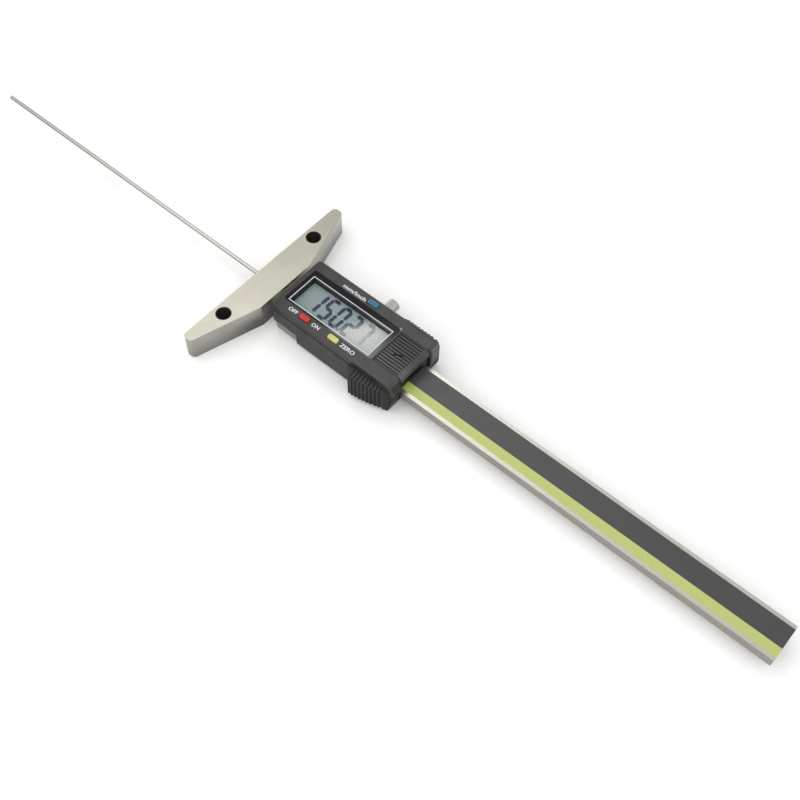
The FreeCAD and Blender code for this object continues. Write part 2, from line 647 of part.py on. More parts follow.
def make_end_stop():
    """Plate across the beam's back that stops the slider."""
    body = new_body("end_stop")
    extrude(body, "z", STOP_BACK, BEAM_BACK, box(STOP_FRONT, STOP_REAR, STOP_LOW, STOP_HIGH))
    chamfer(body, S["beam_edge"], corners(STOP_FRONT, STOP_REAR, STOP_LOW, STOP_HIGH))
    hole = S["small_screw_dia"] + S["screw_slack"] * 2
    carve(body, "z", STOP_BACK, BEAM_BACK, *[prism(x, y, hole) for x, y in stop_screw_places()])
    return body


def make_end_stop_screws():
    """Two low-headed screws of the end stop."""
    body = new_body("end_stop_screws")
    add_screws(body, stop_screw_places(), STOP_BACK - S["press_gap"] - S["low_head_high"],
               BEAM_BACK + S["stop_bite"], S["small_screw_dia"], S["stop_head_dia"], S["low_head_high"])
    return body


# ---------------------------------------------------------------------------------------------
# Slide frame group

def make_slide_frame():
    """Metal slide: a channel with lips over the beam's edges, and its screw holes."""
    body = new_body("slide_frame")
    wall = BEAM_LOW - S["slide_gap"]
    lip_low = BEAM_LOW + S["lip_low_reach"]
    lip_high = BEAM_HIGH - S["lip_high_reach"]
    extrude(body, "x", FRAME_FRONT, FRAME_REAR, outline(
        (FRAME_LOW, FRAME_BACK), (FRAME_HIGH, FRAME_BACK), (FRAME_HIGH, FRAME_TOP), (lip_high, FRAME_TOP),
        (lip_high, LIP_LOW), (GIB_WALL, LIP_LOW), (GIB_WALL, FRAME_INSIDE), (wall, FRAME_INSIDE),
        (wall, LIP_LOW), (lip_low, LIP_LOW), (lip_low, FRAME_TOP), (FRAME_LOW, FRAME_TOP)))
    chamfer(body, S["frame_edge"],
            lambda edge: level(edge, "z", FRAME_BACK) and not level(edge, "y", FRAME_LOW))
    fit = S["press_gap"] * 2
    carve(body, "y", GIB_WALL, FRAME_HIGH,
          *[disc(x, BEAM_MIDDLE, S["small_screw_dia"] + fit) for x in GIB_SCREWS],
          disc(LOCK_X, BEAM_MIDDLE, S["lock_shank_dia"] + S["running_gap"] * 2))
    counterbore(body, POSTS, FRAME_BACK, FRAME_TOP,
                S["small_screw_dia"], S["small_head_dia"], S["small_head_high"])
    carve(body, "z", FRAME_BACK, CLAMP_TOP, clamp_plan(S["clamp_gap"]))
    carve(body, "z", FRAME_BACK, FRAME_INSIDE, block_plan(S["clamp_gap"]))
    carve(body, "z", FRAME_BACK, CLAMP_TOP + S["clamp_bite"] + S["press_gap"],
          *[prism(x, y, S["small_screw_dia"] + fit) for x, y in CLAMP_SCREWS])
    return body


def clamp_plan(gap):
    half = S["clamp_width"] / 2 + gap
    return box(CLAMP_FRONT - gap, CLAMP_BACK + gap, -half, half)


def block_plan(gap):
    half = S["block_width"] / 2 + gap
    return box(BLOCK_FRONT - gap, BLOCK_BACK + gap, -half, half)


def make_gib_strip():
    """Brass strip that takes up the play at the beam's edge."""
    body = new_body("gib_strip")
    edge = S["gib_edge"]
    extrude(body, "x", FRAME_FRONT + S["gib_inset"], FRAME_REAR - S["gib_inset"],
            box(GIB_LOW, GIB_HIGH, BEAM_BACK + edge, BEAM_TOP - edge))
    return body


def make_gib_screws():
    """Two slotted set screws behind the gib strip."""
    body = new_body("gib_screws")
    top = FRAME_HIGH - S["gib_screw_sink"]
    extrude(body, "y", GIB_HIGH, top, *[disc(x, BEAM_MIDDLE, S["small_screw_dia"]) for x in GIB_SCREWS])
    half = S["small_screw_dia"] / 2
    slot = S["recess_width"] / 2
    carve(body, "y", top - S["recess_depth"], top,
          *[box(x - half, x + half, BEAM_MIDDLE - slot, BEAM_MIDDLE + slot) for x in GIB_SCREWS])
    return body


def make_rod_clamp():
    """Clamp in the frame's back, with the shoe that carries the rod in the beam's groove."""
    body = new_body("rod_clamp")
    block_top = FRAME_INSIDE - S["slide_gap"] * 2
    half = groove_half() - S["shoe_side"]
    extrude(body, "z", FRAME_BACK, CLAMP_TOP, clamp_plan(ZERO))
    extrude(body, "z", CLAMP_TOP, block_top, block_plan(ZERO))
    extrude(body, "z", block_top, ZERO, box(BLOCK_FRONT, BLOCK_BACK, -half, half))
    carve(body, "x", BLOCK_FRONT, BLOCK_BACK, disc(ZERO, ZERO, S["rod_dia"] + S["press_gap"] * 2))
    counterbore(body, CLAMP_SCREWS, FRAME_BACK, CLAMP_TOP,
                S["small_screw_dia"], S["small_head_dia"], S["low_head_high"])
    return body


def make_rod_clamp_screws():
    """Two low-headed screws of the rod clamp."""
    body = new_body("rod_clamp_screws")
    add_screws(body, CLAMP_SCREWS, FRAME_BACK, CLAMP_TOP + S["clamp_bite"],
               S["small_screw_dia"], S["small_head_dia"], S["low_head_high"])
    return body


def make_depth_rod():
    """Thin round rod, from its tip in front of the base to the clamp's shoe."""
    body = new_body("depth_rod")
    extrude(body, "x", ROD_TIP, BLOCK_BACK, disc(ZERO, ZERO, S["rod_dia"]))
    chamfer(body, S["rod_nose"], lambda edge: level(edge, "x", ROD_TIP))
    return body


def make_lock_screw():
    """Thumb screw that presses the gib strip against the beam."""
    body = new_body("lock_screw")
    collar = SKIRT_HIGH + S["lock_clear"]
    head = collar + S["lock_collar_length"]
    end = head + S["lock_head_length"]
    extrude(body, "y", GIB_HIGH + S["lock_tip_gap"], collar, disc(LOCK_X, BEAM_MIDDLE, S["lock_shank_dia"]))
    extrude(body, "y", collar, head, disc(LOCK_X, BEAM_MIDDLE, S["lock_collar_dia"]))
    extrude(body, "y", head, end, disc(LOCK_X, BEAM_MIDDLE, S["lock_head_dia"]))
    chamfer(body, S["lock_head_edge"], lambda edge: level(edge, "y", end))
    return body


# ---------------------------------------------------------------------------------------------
# Plastic housing

def make_grip_housing():
    """Skirt round the slide frame, with a scalloped thumb grip on each side."""
    body = new_body("grip_housing")
    extrude(body, "z", FRAME_BACK, SKIRT_RIM, box(SLIDE_FRONT, SLIDE_BACK, SKIRT_LOW, SKIRT_HIGH))
    fillet(body, S["skirt_corner"], corners(SLIDE_FRONT, SLIDE_BACK, SKIRT_LOW, SKIRT_HIGH))
    extrude(body, "z", SKIRT_RIM, SKIRT_TOP, box(FRAME_FRONT, LAP_BACK, SKIRT_LOW, TONGUE_LOW),
            box(FRAME_FRONT, LAP_BACK, TONGUE_HIGH, SKIRT_HIGH))
    add_low_grip(body)
    add_high_grip(body)
    gap = S["seat_gap"]
    carve(body, "z", FRAME_BACK, SKIRT_RIM, box(FRAME_FRONT - gap, FRAME_REAR + gap, TONGUE_LOW, TONGUE_HIGH))
    carve(body, "y", GRIP_LOW, GRIP_HIGH, outline(
        (SLIDE_BACK, SKIRT_RIM), (SLIDE_BACK - S["skirt_draw"], FRAME_BACK), (SLIDE_BACK, FRAME_BACK)))
    cut_skirt_openings(body)
    return body


def add_low_grip(body):
    """Thumb grip on the low side: a flank, then a long arc with a fan of scallops and ledge grooves."""
    radius = S["grip_low_radius"]
    centre_x = SLIDE_BACK - S["grip_low_crown"]
    centre_y = GRIP_LOW + radius
    flank_end = SLIDE_BACK - S["grip_low_length"] + S["grip_low_flank"]
    extrude(body, "z", FRAME_BACK, SKIRT_TOP, arc_grip(centre_x, centre_y, radius, flank_end))
    fillet(body, S["grip_flank_round"], lambda edge: level(edge, "x", flank_end))
    scallop = disc(ZERO, -(radius + S["tooth_out"]), S["tooth_radius"] * 2)
    half = S["ledge_groove"] / 2
    groove = box(-half, half, -radius, GRIP_LOW - COVER_LOW - radius)
    lead = (flank_end + S["tooth_lead"] - centre_x) / radius
    for low, shape in ((FRAME_BACK, scallop), (SKIRT_TOP - S["ledge_depth"], groove)):
        cut = carve(body, "z", low, SKIRT_TOP, shape)
        profile = cut.Profile[0]
        profile.setExpression(".AttachmentOffset.Base.x", centre_x.text)
        profile.setExpression(".AttachmentOffset.Base.y", centre_y.text)
        profile.setExpression(".AttachmentOffset.Rotation.Angle", f"asin({lead.text})")
        doc.recompute()
        pattern = body.newObject("PartDesign::PolarPattern", "Fan")
        pattern.Originals = [cut]
        pattern.Axis = (profile, ["N_Axis"])
        pattern.Mode = "Spacing"
        pattern.setExpression("Offset", f"{(S['tooth_pitch'] / radius).text} * 180 / pi")
        pattern.setExpression("Occurrences", S["tooth_count"].text)
        body.Tip = pattern


def arc_grip(centre_x, centre_y, radius, flank_end):
    """Outline of the low grip: flank, arc, rear end, root line inside the skirt's wall."""
    root = COVER_LOW - S["seat_gap"]
    foot = SLIDE_BACK - S["grip_low_length"]
    end = LAP_BACK

    def on_arc(x):
        height = (radius.value ** 2 - (x.value - centre_x.value) ** 2) ** 0.5
        return vector(x.value, centre_y.value - height)

    def draw(profile):
        first = on_arc(flank_end)
        last = on_arc(end)
        flank_foot = vector(foot.value, root.value)
        rear_foot = vector(end.value, root.value)
        arc = profile.addGeometry(Part.Arc(first, on_arc((flank_end + end) / 2), last))
        flank = profile.addGeometry(Part.LineSegment(flank_foot, first))
        rear = profile.addGeometry(Part.LineSegment(last, rear_foot))
        back = profile.addGeometry(Part.LineSegment(rear_foot, flank_foot))
        for one, other, point in ((flank, arc, 1), (arc, rear, 1), (rear, back, 1), (back, flank, 1)):
            profile.addConstraint(Sketcher.Constraint("Coincident", one, 2, other, point))
        pin(profile, arc, 3, centre_x, centre_y)
        limit = profile.addConstraint(Sketcher.Constraint("Radius", arc, radius.value))
        profile.setExpression(f"Constraints[{limit}]", radius.text)
        for point, place in ((1, flank_end), (2, end)):
            limit = profile.addConstraint(Sketcher.Constraint("DistanceX", -1, 1, arc, point, place.value))
            profile.setExpression(f"Constraints[{limit}]", place.text)
        pin(profile, flank, 1, foot, root)
        pin(profile, back, 1, end, root)

    return draw


def add_high_grip(body):
    """Thumb grip on the lock side: flank, straight row of scallops, rear slope."""
    root = COVER_HIGH + S["seat_gap"]
    start = SLIDE_BACK - S["grip_high_length"]
    full = start + S["grip_high_flank"]
    turn = SLIDE_BACK - S["grip_high_tail"]
    extrude(body, "z", FRAME_BACK, SKIRT_TOP, outline(
        (start, root), (LAP_BACK, root), (LAP_BACK, SKIRT_HIGH + S["grip_high_end"]),
        (turn, GRIP_HIGH), (full, GRIP_HIGH)))
    fillet(body, S["grip_flank_round"], lambda edge: upright_at(edge, full, GRIP_HIGH)
           or upright_at(edge, turn, GRIP_HIGH))
    scallop = carve(body, "z", FRAME_BACK, SKIRT_TOP,
                    disc(full + S["tooth_lead"], GRIP_HIGH + S["tooth_out"], S["tooth_radius"] * 2))
    repeat(body, scallop, "H_Axis", S["tooth_pitch"], S["tooth_count"])


def cut_skirt_openings(body):
    """Front notch, beam passages, gib screw holes and the lock screw's hole."""
    notch_back = SLIDE_FRONT + S["skirt_notch_length"]
    notch_top = FRAME_BACK + S["skirt_notch_high"]
    carve(body, "y", SKIRT_LOW, SKIRT_HIGH, box(SLIDE_FRONT, notch_back, FRAME_BACK, notch_top))
    fillet(body, S["skirt_notch_round"],
           lambda edge: level(edge, "x", notch_back) and level(edge, "z", notch_top))
    passage = S["passage_gap"]
    carve(body, "x", SLIDE_FRONT, FRAME_FRONT,
          box(BEAM_LOW - passage, BEAM_HIGH + passage, FRAME_BACK, SKIRT_RIM))
    mouth = STOP_BACK - S["low_head_high"] - S["stop_gap"]
    carve(body, "x", FRAME_REAR, SLIDE_BACK,
          box(-S["rear_mouth_low"], S["rear_mouth_high"], mouth, SKIRT_RIM))
    carve(body, "y", TONGUE_HIGH, SKIRT_HIGH,
          *[disc(x, BEAM_MIDDLE, S["access_dia"]) for x in GIB_SCREWS],
          disc(LOCK_X, BEAM_MIDDLE, S["lock_shank_dia"] + S["lock_clear"] * 2))


def make_top_cover():
    """Top cover: display bay, battery bay, screw bosses, button holes and door runners."""
    body = new_body("top_cover")
    extrude(body, "z", FRAME_TOP, COVER_TOP, box(SLIDE_FRONT, SLIDE_BACK, COVER_LOW, COVER_HIGH))
    fillet(body, S["skirt_corner"], corners(SLIDE_FRONT, SLIDE_BACK, COVER_LOW, COVER_HIGH))
    chamfer(body, S["cover_edge"], lambda edge: level(edge, "z", COVER_TOP))
    carve(body, "y", COVER_LOW, COVER_HIGH, outline(
        (SLOPE_FRONT, COVER_TOP), (rear_face(SLOPE_FOOT), SLOPE_FOOT), (SLIDE_BACK, SKIRT_TOP),
        (SLIDE_BACK, COVER_TOP)))
    front = FRAME_FRONT - S["seat_gap"]
    back = LAP_BACK + S["seat_gap"]
    carve(body, "z", FRAME_TOP, SKIRT_TOP + S["seat_gap"],
          box(front, back, SKIRT_LOW, FRAME_LOW), box(front, back, FRAME_HIGH, SKIRT_HIGH))
    hollow_cover(body)
    cut_display_opening(body)
    cut_battery_bay(body)
    cut_button_holes(body)
    return body


def rear_face(level_z):
    """Place of the leaning rear face at a level between the skirt's top and the slope's foot."""
    return SLIDE_BACK - S["rear_lean"] * (level_z - SKIRT_TOP) / (SLOPE_FOOT - SKIRT_TOP)


def hollow_cover(body):
    """Board space, display bay, battery block, screw bosses, and the rim over the display panel."""
    wall = S["cover_wall"]
    front = CIRCUIT_FRONT - S["circuit_inset"]
    back = CIRCUIT_BACK + S["circuit_inset"]
    board_top = CIRCUIT_TOP + S["seat_gap"]
    carve(body, "z", FRAME_TOP, CEILING - wall, box(front, back, BAY_LOW, BAY_HIGH))
    carve(body, "z", SKIRT_TOP + S["seat_gap"] + wall, CEILING,
          box(front, BAY_BACK, COVER_LOW + wall, COVER_HIGH - wall))
    extrude(body, "z", board_top, CEILING, box(BAY_BACK, BAY_BACK + wall, BAY_LOW, BAY_HIGH))
    block = bay_diameter() / 2 + wall
    extrude(body, "z", board_top, CEILING, box(BAY_BACK, back, DOOR_MIDDLE - block, DOOR_MIDDLE + block))
    extrude(body, "z", FRAME_TOP, CEILING, *boss_plans(ZERO, wall / 2))
    extrude(body, "z", LCD_TOP, CEILING, glass_plan(S["lcd_border"]), glass_plan(-S["glass_rim"]))
    carve(body, "z", FRAME_TOP, FRAME_TOP + S["cover_screw_bite"] + S["seat_gap"],
          *[prism(x, y, S["small_screw_dia"] + S["press_gap"] * 2) for x, y in POSTS])


def boss_plans(gap, reach):
    """Plans of the four screw bosses, from the side walls inwards."""
    half = S["post_dia"] / 2 + gap
    return [
        box(x - half, x + half, BAY_LOW - reach, y + half) if y.value < 0
        else box(x - half, x + half, y - half, BAY_HIGH + reach)
        for x, y in POSTS
    ]


def bay_diameter():
    """Round bay of the button cell."""
    return S["cell_dia"] + S["cell_slack"] * 2


def cut_display_opening(body):
    """Seat of the bezel and the clear opening under it."""
    carve(body, "z", BEZEL_UNDER, COVER_TOP, box(BEZEL_FRONT, BEZEL_BACK, BEZEL_LOW, BEZEL_HIGH))
    fillet(body, S["bezel_round"], corners(BEZEL_FRONT, BEZEL_BACK, BEZEL_LOW, BEZEL_HIGH))
    carve(body, "z", CEILING, BEZEL_UNDER, glass_plan(S["lcd_border"] / 2))


def glass_plan(margin):
    """Plan of the clear opening, widened by a margin."""
    return box(GLASS_FRONT - margin, GLASS_BACK + margin, GLASS_LOW - margin, GLASS_HIGH + margin)


def cut_battery_bay(body):
    """Round bay for the cell, slot for its side contact, door opening, runners and the rear recess."""
    board_top = CIRCUIT_TOP + S["seat_gap"]
    carve(body, "z", board_top, DOOR_UNDER, disc(CELL_X, DOOR_MIDDLE, bay_diameter()))
    slot = S["contact_width"] / 2 + S["cell_slack"]
    carve(body, "z", board_top, DOOR_UNDER,
          box(LEAF_FRONT - S["cell_slack"], CELL_X, DOOR_MIDDLE - slot, DOOR_MIDDLE + slot))
    carve(body, "z", DOOR_UNDER, COVER_TOP, box(DOOR_FRONT, SLIDE_BACK, DOOR_LOW, DOOR_HIGH))
    tongue = S["door_tongue"]
    carve(body, "z", DOOR_UNDER, DOOR_UNDER + S["door_tongue_high"] + S["door_gap"],
          box(DOOR_FRONT, SLIDE_BACK, DOOR_LOW - tongue, DOOR_HIGH + tongue))
    lip_under = COVER_TOP - S["door_lip_high"] - S["door_gap"]
    carve(body, "z", lip_under, DOOR_UNDER,
          box(SLIDE_BACK - S["door_lip_thick"] - S["door_gap"], SLIDE_BACK, DOOR_LOW, DOOR_HIGH))
    carve(body, "x", SLIDE_BACK - S["recess_deep"], SLIDE_BACK,
          box(DOOR_LOW, DOOR_HIGH, FRAME_TOP, FRAME_TOP + S["recess_high"]))


def cut_button_holes(body):
    length = S["button_length"] / 2 + S["button_gap"]
    width = S["button_width"] / 2 + S["button_gap"]
    carve(body, "z", CEILING, COVER_TOP,
          *[box(x - length, x + length, y - width, y + width) for x, y in BUTTONS.values()])
    places = [
        (x + length * side, y + width * end)
        for x, y in BUTTONS.values() for side in (-1, 1) for end in (-1, 1)
    ]
    fillet(body, S["button_round"], lambda edge: any(upright_at(edge, x, y) for x, y in places))


def make_bezel():
    """Dark frame round the display, sunk into the cover."""
    body = new_body("display_bezel")
    gap = S["seat_gap"]
    limits = (BEZEL_FRONT + gap, BEZEL_BACK - gap, BEZEL_LOW + gap, BEZEL_HIGH - gap)
    extrude(body, "z", BEZEL_UNDER, BEZEL_TOP, box(*limits))
    fillet(body, S["bezel_round"], corners(*limits))
    carve(body, "z", BEZEL_UNDER, BEZEL_TOP, glass_plan(ZERO))
    return body


def make_window():
    """Clear window: its flange lies on the display's rim, under the bezel."""
    body = new_body("display_window")
    gap = S["seat_gap"]
    extrude(body, "z", CEILING, BEZEL_UNDER - gap, glass_plan(S["lcd_border"] / 2 - gap))
    extrude(body, "z", BEZEL_UNDER - gap, CEILING + S["window_thick"], glass_plan(-gap))
    return body


def make_lcd():
    """Display panel under the cover's rim."""
    body = new_body("lcd_panel")
    extrude(body, "z", LCD_UNDER, LCD_TOP, glass_plan(S["lcd_border"]))
    return body


def make_lcd_connector():
    """Elastic connector strip between the circuit board and the display panel."""
    body = new_body("lcd_connector")
    inset = S["connector_inset"]
    low = GLASS_LOW - S["lcd_border"] / 2
    extrude(body, "z", CIRCUIT_TOP, LCD_UNDER,
            box(GLASS_FRONT + inset, GLASS_BACK - inset, low, low + S["connector_width"]))
    return body


def make_circuit_board():
    """Circuit board on the slide frame, with clearance round the bosses."""
    body = new_body("circuit_board")
    inset = S["circuit_inset"]
    extrude(body, "z", FRAME_TOP, CIRCUIT_TOP,
            box(CIRCUIT_FRONT, CIRCUIT_BACK, BAY_LOW + inset, BAY_HIGH - inset))
    carve(body, "z", FRAME_TOP, CIRCUIT_TOP, *boss_plans(inset, inset))
    return body


def make_chip():
    """Square controller chip."""
    body = new_body("controller_chip")
    half = S["chip_width"] / 2
    top = CIRCUIT_TOP + S["chip_high"]
    extrude(body, "z", CIRCUIT_TOP, top,
            box(GLASS_MIDDLE - half, GLASS_MIDDLE + half, S["chip_shift"] - half, S["chip_shift"] + half))
    chamfer(body, S["chip_high"] / 4, lambda edge: level(edge, "z", top))
    return body


def make_key_switches():
    """One key switch under each button."""
    body = new_body("key_switches")
    length = S["switch_length"] / 2
    width = S["switch_width"] / 2
    extrude(body, "z", CIRCUIT_TOP, SWITCH_TOP,
            *[box(x - length, x + length, y - width, y + width) for x, y in BUTTONS.values()])
    return body


def make_button(label):
    """Button cap with a flange under the cover."""
    x, y = BUTTONS[label]
    body = new_body(label)
    length = S["button_length"] / 2
    width = S["button_width"] / 2
    limits = (x - length, x + length, y - width, y + width)
    top = COVER_TOP + S["button_proud"]
    extrude(body, "z", BUTTON_UNDER, top, box(*limits))
    fillet(body, S["button_round"], corners(*limits))
    chamfer(body, S["button_gap"], lambda edge: level(edge, "z", top))
    long = length + S["button_flange"]
    extrude(body, "z", BUTTON_UNDER, BUTTON_UNDER + S["button_flange_high"],
            box(x - long, x + long, y - width, y + width))
    return body


def make_cell():
    """Button cell: the can, and the smaller cap that faces the board."""
    body = new_body("battery_cell")
    can = CELL_BACK + S["cell_cap_high"]
    extrude(body, "z", can, CELL_TOP, disc(CELL_X, DOOR_MIDDLE, S["cell_dia"]))
    extrude(body, "z", CELL_BACK, can, disc(CELL_X, DOOR_MIDDLE, S["cell_cap_dia"]))
    return body


def make_bottom_contact():
    """Contact plate on the board, under the cell."""
    body = new_body("battery_contact_minus")
    wide = S["contact_width"]
    half = wide / 2
    end = CELL_X + S["cell_dia"] / 2
    extrude(body, "z", CIRCUIT_TOP, CELL_BACK, outline(
        (CELL_X - wide, DOOR_MIDDLE - wide), (CELL_X + half, DOOR_MIDDLE - wide),
        (CELL_X + half, DOOR_MIDDLE - half), (end, DOOR_MIDDLE - half), (end, DOOR_MIDDLE + half),
        (CELL_X + half, DOOR_MIDDLE + half), (CELL_X + half, DOOR_MIDDLE + wide),
        (CELL_X - wide, DOOR_MIDDLE + wide)))
    return body


def make_side_contact():
    """Spring leaf that stands beside the cell and touches its can."""
    body = new_body("battery_contact_plus")
    half = S["contact_width"] / 2
    extrude(body, "z", CIRCUIT_TOP, CELL_TOP - S["cell_slack"],
            box(LEAF_FRONT, LEAF_BACK, DOOR_MIDDLE - half, DOOR_MIDDLE + half))
    return body


def make_battery_door():
    """Sliding battery door with lengthwise grooves, an arrow and a sloping rear lip."""
    body = new_body("battery_door")
    gap = S["door_gap"]
    front = DOOR_FRONT + gap
    low = DOOR_LOW + gap
    high = DOOR_HIGH - gap
    lip_front = SLIDE_BACK - S["door_lip_thick"]
    lip_under = COVER_TOP - S["door_lip_high"]
    extrude(body, "y", low, high, outline(
        (front, DOOR_UNDER), (lip_front, DOOR_UNDER), (lip_front, lip_under),
        (rear_face(lip_under), lip_under), (rear_face(SLOPE_FOOT), SLOPE_FOOT),
        (SLOPE_FRONT, COVER_TOP), (front, COVER_TOP)))
    tongue = S["door_tongue"] - gap
    extrude(body, "z", DOOR_UNDER, DOOR_UNDER + S["door_tongue_high"],
            box(front, SLOPE_FRONT, low - tongue, high + tongue))
    pitch = (high - low) / S["rib_count"]
    half = S["rib_groove"] / 2
    first = low + pitch / 2
    groove = carve(body, "z", COVER_TOP - S["rib_depth"], COVER_TOP,
                   box(front, SLOPE_FRONT - S["rib_groove"], first - half, first + half))
    repeat(body, groove, "V_Axis", pitch, S["rib_count"])
    tail = front + S["arrow_set"]
    tip = tail + S["arrow_length"]
    foot = DOOR_MIDDLE - S["arrow_half"]
    carve(body, "z", COVER_TOP - S["arrow_depth"], COVER_TOP, outline(
        (tip, DOOR_MIDDLE), (tail, DOOR_MIDDLE + S["arrow_half"]), (tail, foot)))
    carve(body, "z", COVER_TOP - S["arrow_slot_depth"], COVER_TOP, outline(
        (tail, foot), (tip, DOOR_MIDDLE), (tip - S["arrow_slot"], DOOR_MIDDLE + S["arrow_slot"] / 2),
        (tail, foot + S["arrow_slot"])))
    return body


def make_cover_screws():
    """Four screws from the frame's back into the top cover's bosses."""
    body = new_body("cover_screws")
    add_screws(body, POSTS, FRAME_BACK, FRAME_TOP + S["cover_screw_bite"],
               S["small_screw_dia"], S["small_head_dia"], S["small_head_high"])
    return body


# ---------------------------------------------------------------------------------------------
# Building and writing

def make_all():
    pieces = [
        make_beam(), make_scale_board(), make_scale_film(), make_base(), make_beam_screws(),
        make_end_stop(), make_end_stop_screws(),
        make_slide_frame(), make_gib_strip(), make_gib_screws(), make_rod_clamp(), make_rod_clamp_screws(),
        make_depth_rod(), make_grip_housing(), make_top_cover(), make_bezel(), make_window(), make_lcd(),
        make_lcd_connector(), make_circuit_board(), make_chip(), make_key_switches(), make_cell(),
        make_bottom_contact(), make_side_contact(), make_cover_screws(),
        make_lock_screw(), make_battery_door(),
    ]
    pieces += [make_button(label) for label in BUTTONS]
    doc.recompute()
    return pieces


def check(pieces):
    """Stops if a feature failed or a piece has no valid solid."""
    failed = [
        f"{item.getParentGeoFeatureGroup().Label} {item.Label}"
        for item in doc.Objects if {"Invalid", "Error"} & set(item.State)
    ]
    if failed:
        raise RuntimeError("failed features: " + ", ".join(failed))
    for piece in pieces:
        if piece.Shape.isNull() or not piece.Shape.isValid() or not piece.Shape.Solids:
            raise RuntimeError(f"{piece.Label} has no valid solid")


def write(pieces):
    os.makedirs("parts", exist_ok=True)
    for piece in pieces:
        piece.Shape.exportStep(f"parts/{piece.Label}.step")
        print(f"{piece.Label}: {len(piece.Shape.Solids)} solids, {piece.Shape.Volume:.2f} mm3")


finished = make_all()
check(finished)
write(finished)
print(f"slider travel {TRAVEL.value:.2f} mm, rod tip at {ROD_TIP.value:.2f} mm")
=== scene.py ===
import json
import math
from functools import partialmethod

import bmesh
import bpy
from mathutils import Matrix, Vector


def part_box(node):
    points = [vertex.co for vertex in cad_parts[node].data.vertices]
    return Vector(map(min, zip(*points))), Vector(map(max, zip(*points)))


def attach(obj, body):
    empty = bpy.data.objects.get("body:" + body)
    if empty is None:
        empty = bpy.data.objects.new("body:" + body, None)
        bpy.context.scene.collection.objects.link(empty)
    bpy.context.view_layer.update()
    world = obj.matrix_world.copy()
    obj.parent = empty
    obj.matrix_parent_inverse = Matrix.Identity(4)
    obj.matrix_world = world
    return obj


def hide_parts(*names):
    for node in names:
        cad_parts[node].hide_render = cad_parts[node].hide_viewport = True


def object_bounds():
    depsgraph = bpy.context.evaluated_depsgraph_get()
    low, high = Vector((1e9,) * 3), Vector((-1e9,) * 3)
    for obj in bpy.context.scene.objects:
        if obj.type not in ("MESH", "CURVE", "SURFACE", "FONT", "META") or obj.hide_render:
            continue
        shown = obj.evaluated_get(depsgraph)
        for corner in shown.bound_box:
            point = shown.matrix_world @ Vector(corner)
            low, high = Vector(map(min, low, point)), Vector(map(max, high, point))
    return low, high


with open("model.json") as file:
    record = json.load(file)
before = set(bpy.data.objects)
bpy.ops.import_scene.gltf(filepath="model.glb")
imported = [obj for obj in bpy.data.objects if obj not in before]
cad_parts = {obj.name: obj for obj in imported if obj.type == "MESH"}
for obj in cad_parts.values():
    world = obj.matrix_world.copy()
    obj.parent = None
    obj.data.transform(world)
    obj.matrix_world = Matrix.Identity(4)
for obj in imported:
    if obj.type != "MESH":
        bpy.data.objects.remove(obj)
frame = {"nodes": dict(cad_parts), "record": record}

bl_info = {
    "name": "Digital depth gauge finishes",
    "version": (1, 0, 0),
    "blender": (4, 5, 0),
    "location": "3D View > Sidebar > Depth gauge",
    "description": "Dresses the packed depth gauge: finishes, display, printing, knurl and studio",
    "category": "Object",
}

MM = 0.001
NODES = frame["nodes"]
FRAME_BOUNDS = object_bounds()

# Heights and corners of CAD nodes, and the display's clear opening as (low x, low y, high x, high y)
COVER_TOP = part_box("top_cover")[1].z
BEZEL_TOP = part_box("display_bezel")[1].z
LCD_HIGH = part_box("lcd_panel")[1]
WINDOW_LOW, WINDOW_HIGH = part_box("display_window")
SCREW_LOW, SCREW_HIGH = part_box("lock_screw")
CLEAR_OPENING = tuple(value * MM for value in (24.85, -7.45, 69.25, 8.15))

# Which segments of a seven-segment digit are on
SEGMENTS_ON = {
    "0": "top high_left high_right low_left low_right bottom",
    "1": "high_right low_right",
    "2": "top high_right middle low_left bottom",
    "3": "top high_right middle low_right bottom",
    "4": "high_left high_right middle low_right",
    "5": "top high_left middle low_right bottom",
    "6": "top high_left middle low_left low_right bottom",
    "7": "top high_right low_right",
    "8": "top high_left high_right middle low_left low_right bottom",
    "9": "top high_left high_right middle low_right bottom",
}

# A segment's centre from the digit's, in half widths and half heights, and whether it stands upright
SEGMENT_PLACES = {
    "top": (0, 1, False),
    "middle": (0, 0, False),
    "bottom": (0, -1, False),
    "high_left": (-1, 0.5, True),
    "high_right": (1, 0.5, True),
    "low_left": (-1, -0.5, True),
    "low_right": (1, -0.5, True),
}

# Printed words on the cover: text, then its low x, low y, high x and high y in millimetres
COVER_WORDS = {
    "label_off": ("OFF", (28.1, -12.05, 32.9, -10.15)),
    "label_on": ("ON", (41.3, -12.05, 45.3, -10.15)),
    "label_zero": ("ZERO", (57.3, -12.05, 65.0, -10.15)),
    "label_mm_inch": ("mm/inch", (37.6, 12.15, 50.1, 14.05)),
}

# Marks that the finishes paint, in metres; angles in radians
SEAM_Y = 15.78 * MM  # painted shade along the joint on the cover beside the lock side grip
GLINT_SPOT = (71.1 * MM, 11.2 * MM, 0.95 * MM)  # painted glint on the cover near the battery door: x, y and radius
GREEN_WIDE = 4.4 * MM  # green band of the scale
SCALE_PITCH = 1.27 * MM  # fine marks in the green band
GLARE = (48.0 * MM, 55.5 * MM)  # where the painted reflection over the display starts and ends, along Finish.run
# Where the painted shade lines across the low grip's ledge go:
FAN_RADIUS = 56 * MM  # the low grip's ribs fan out from a point: its distance from their crown,
FAN_CROWN = 24.2 * MM  # the crown's place ahead of the slider's rear end,
FAN_FIRST = math.asin(4.8 / 56)  # the angles of the first rib and from each to the next,
FAN_PITCH = 1.85 / 56
FAN_COUNT = 9  # and how many there are

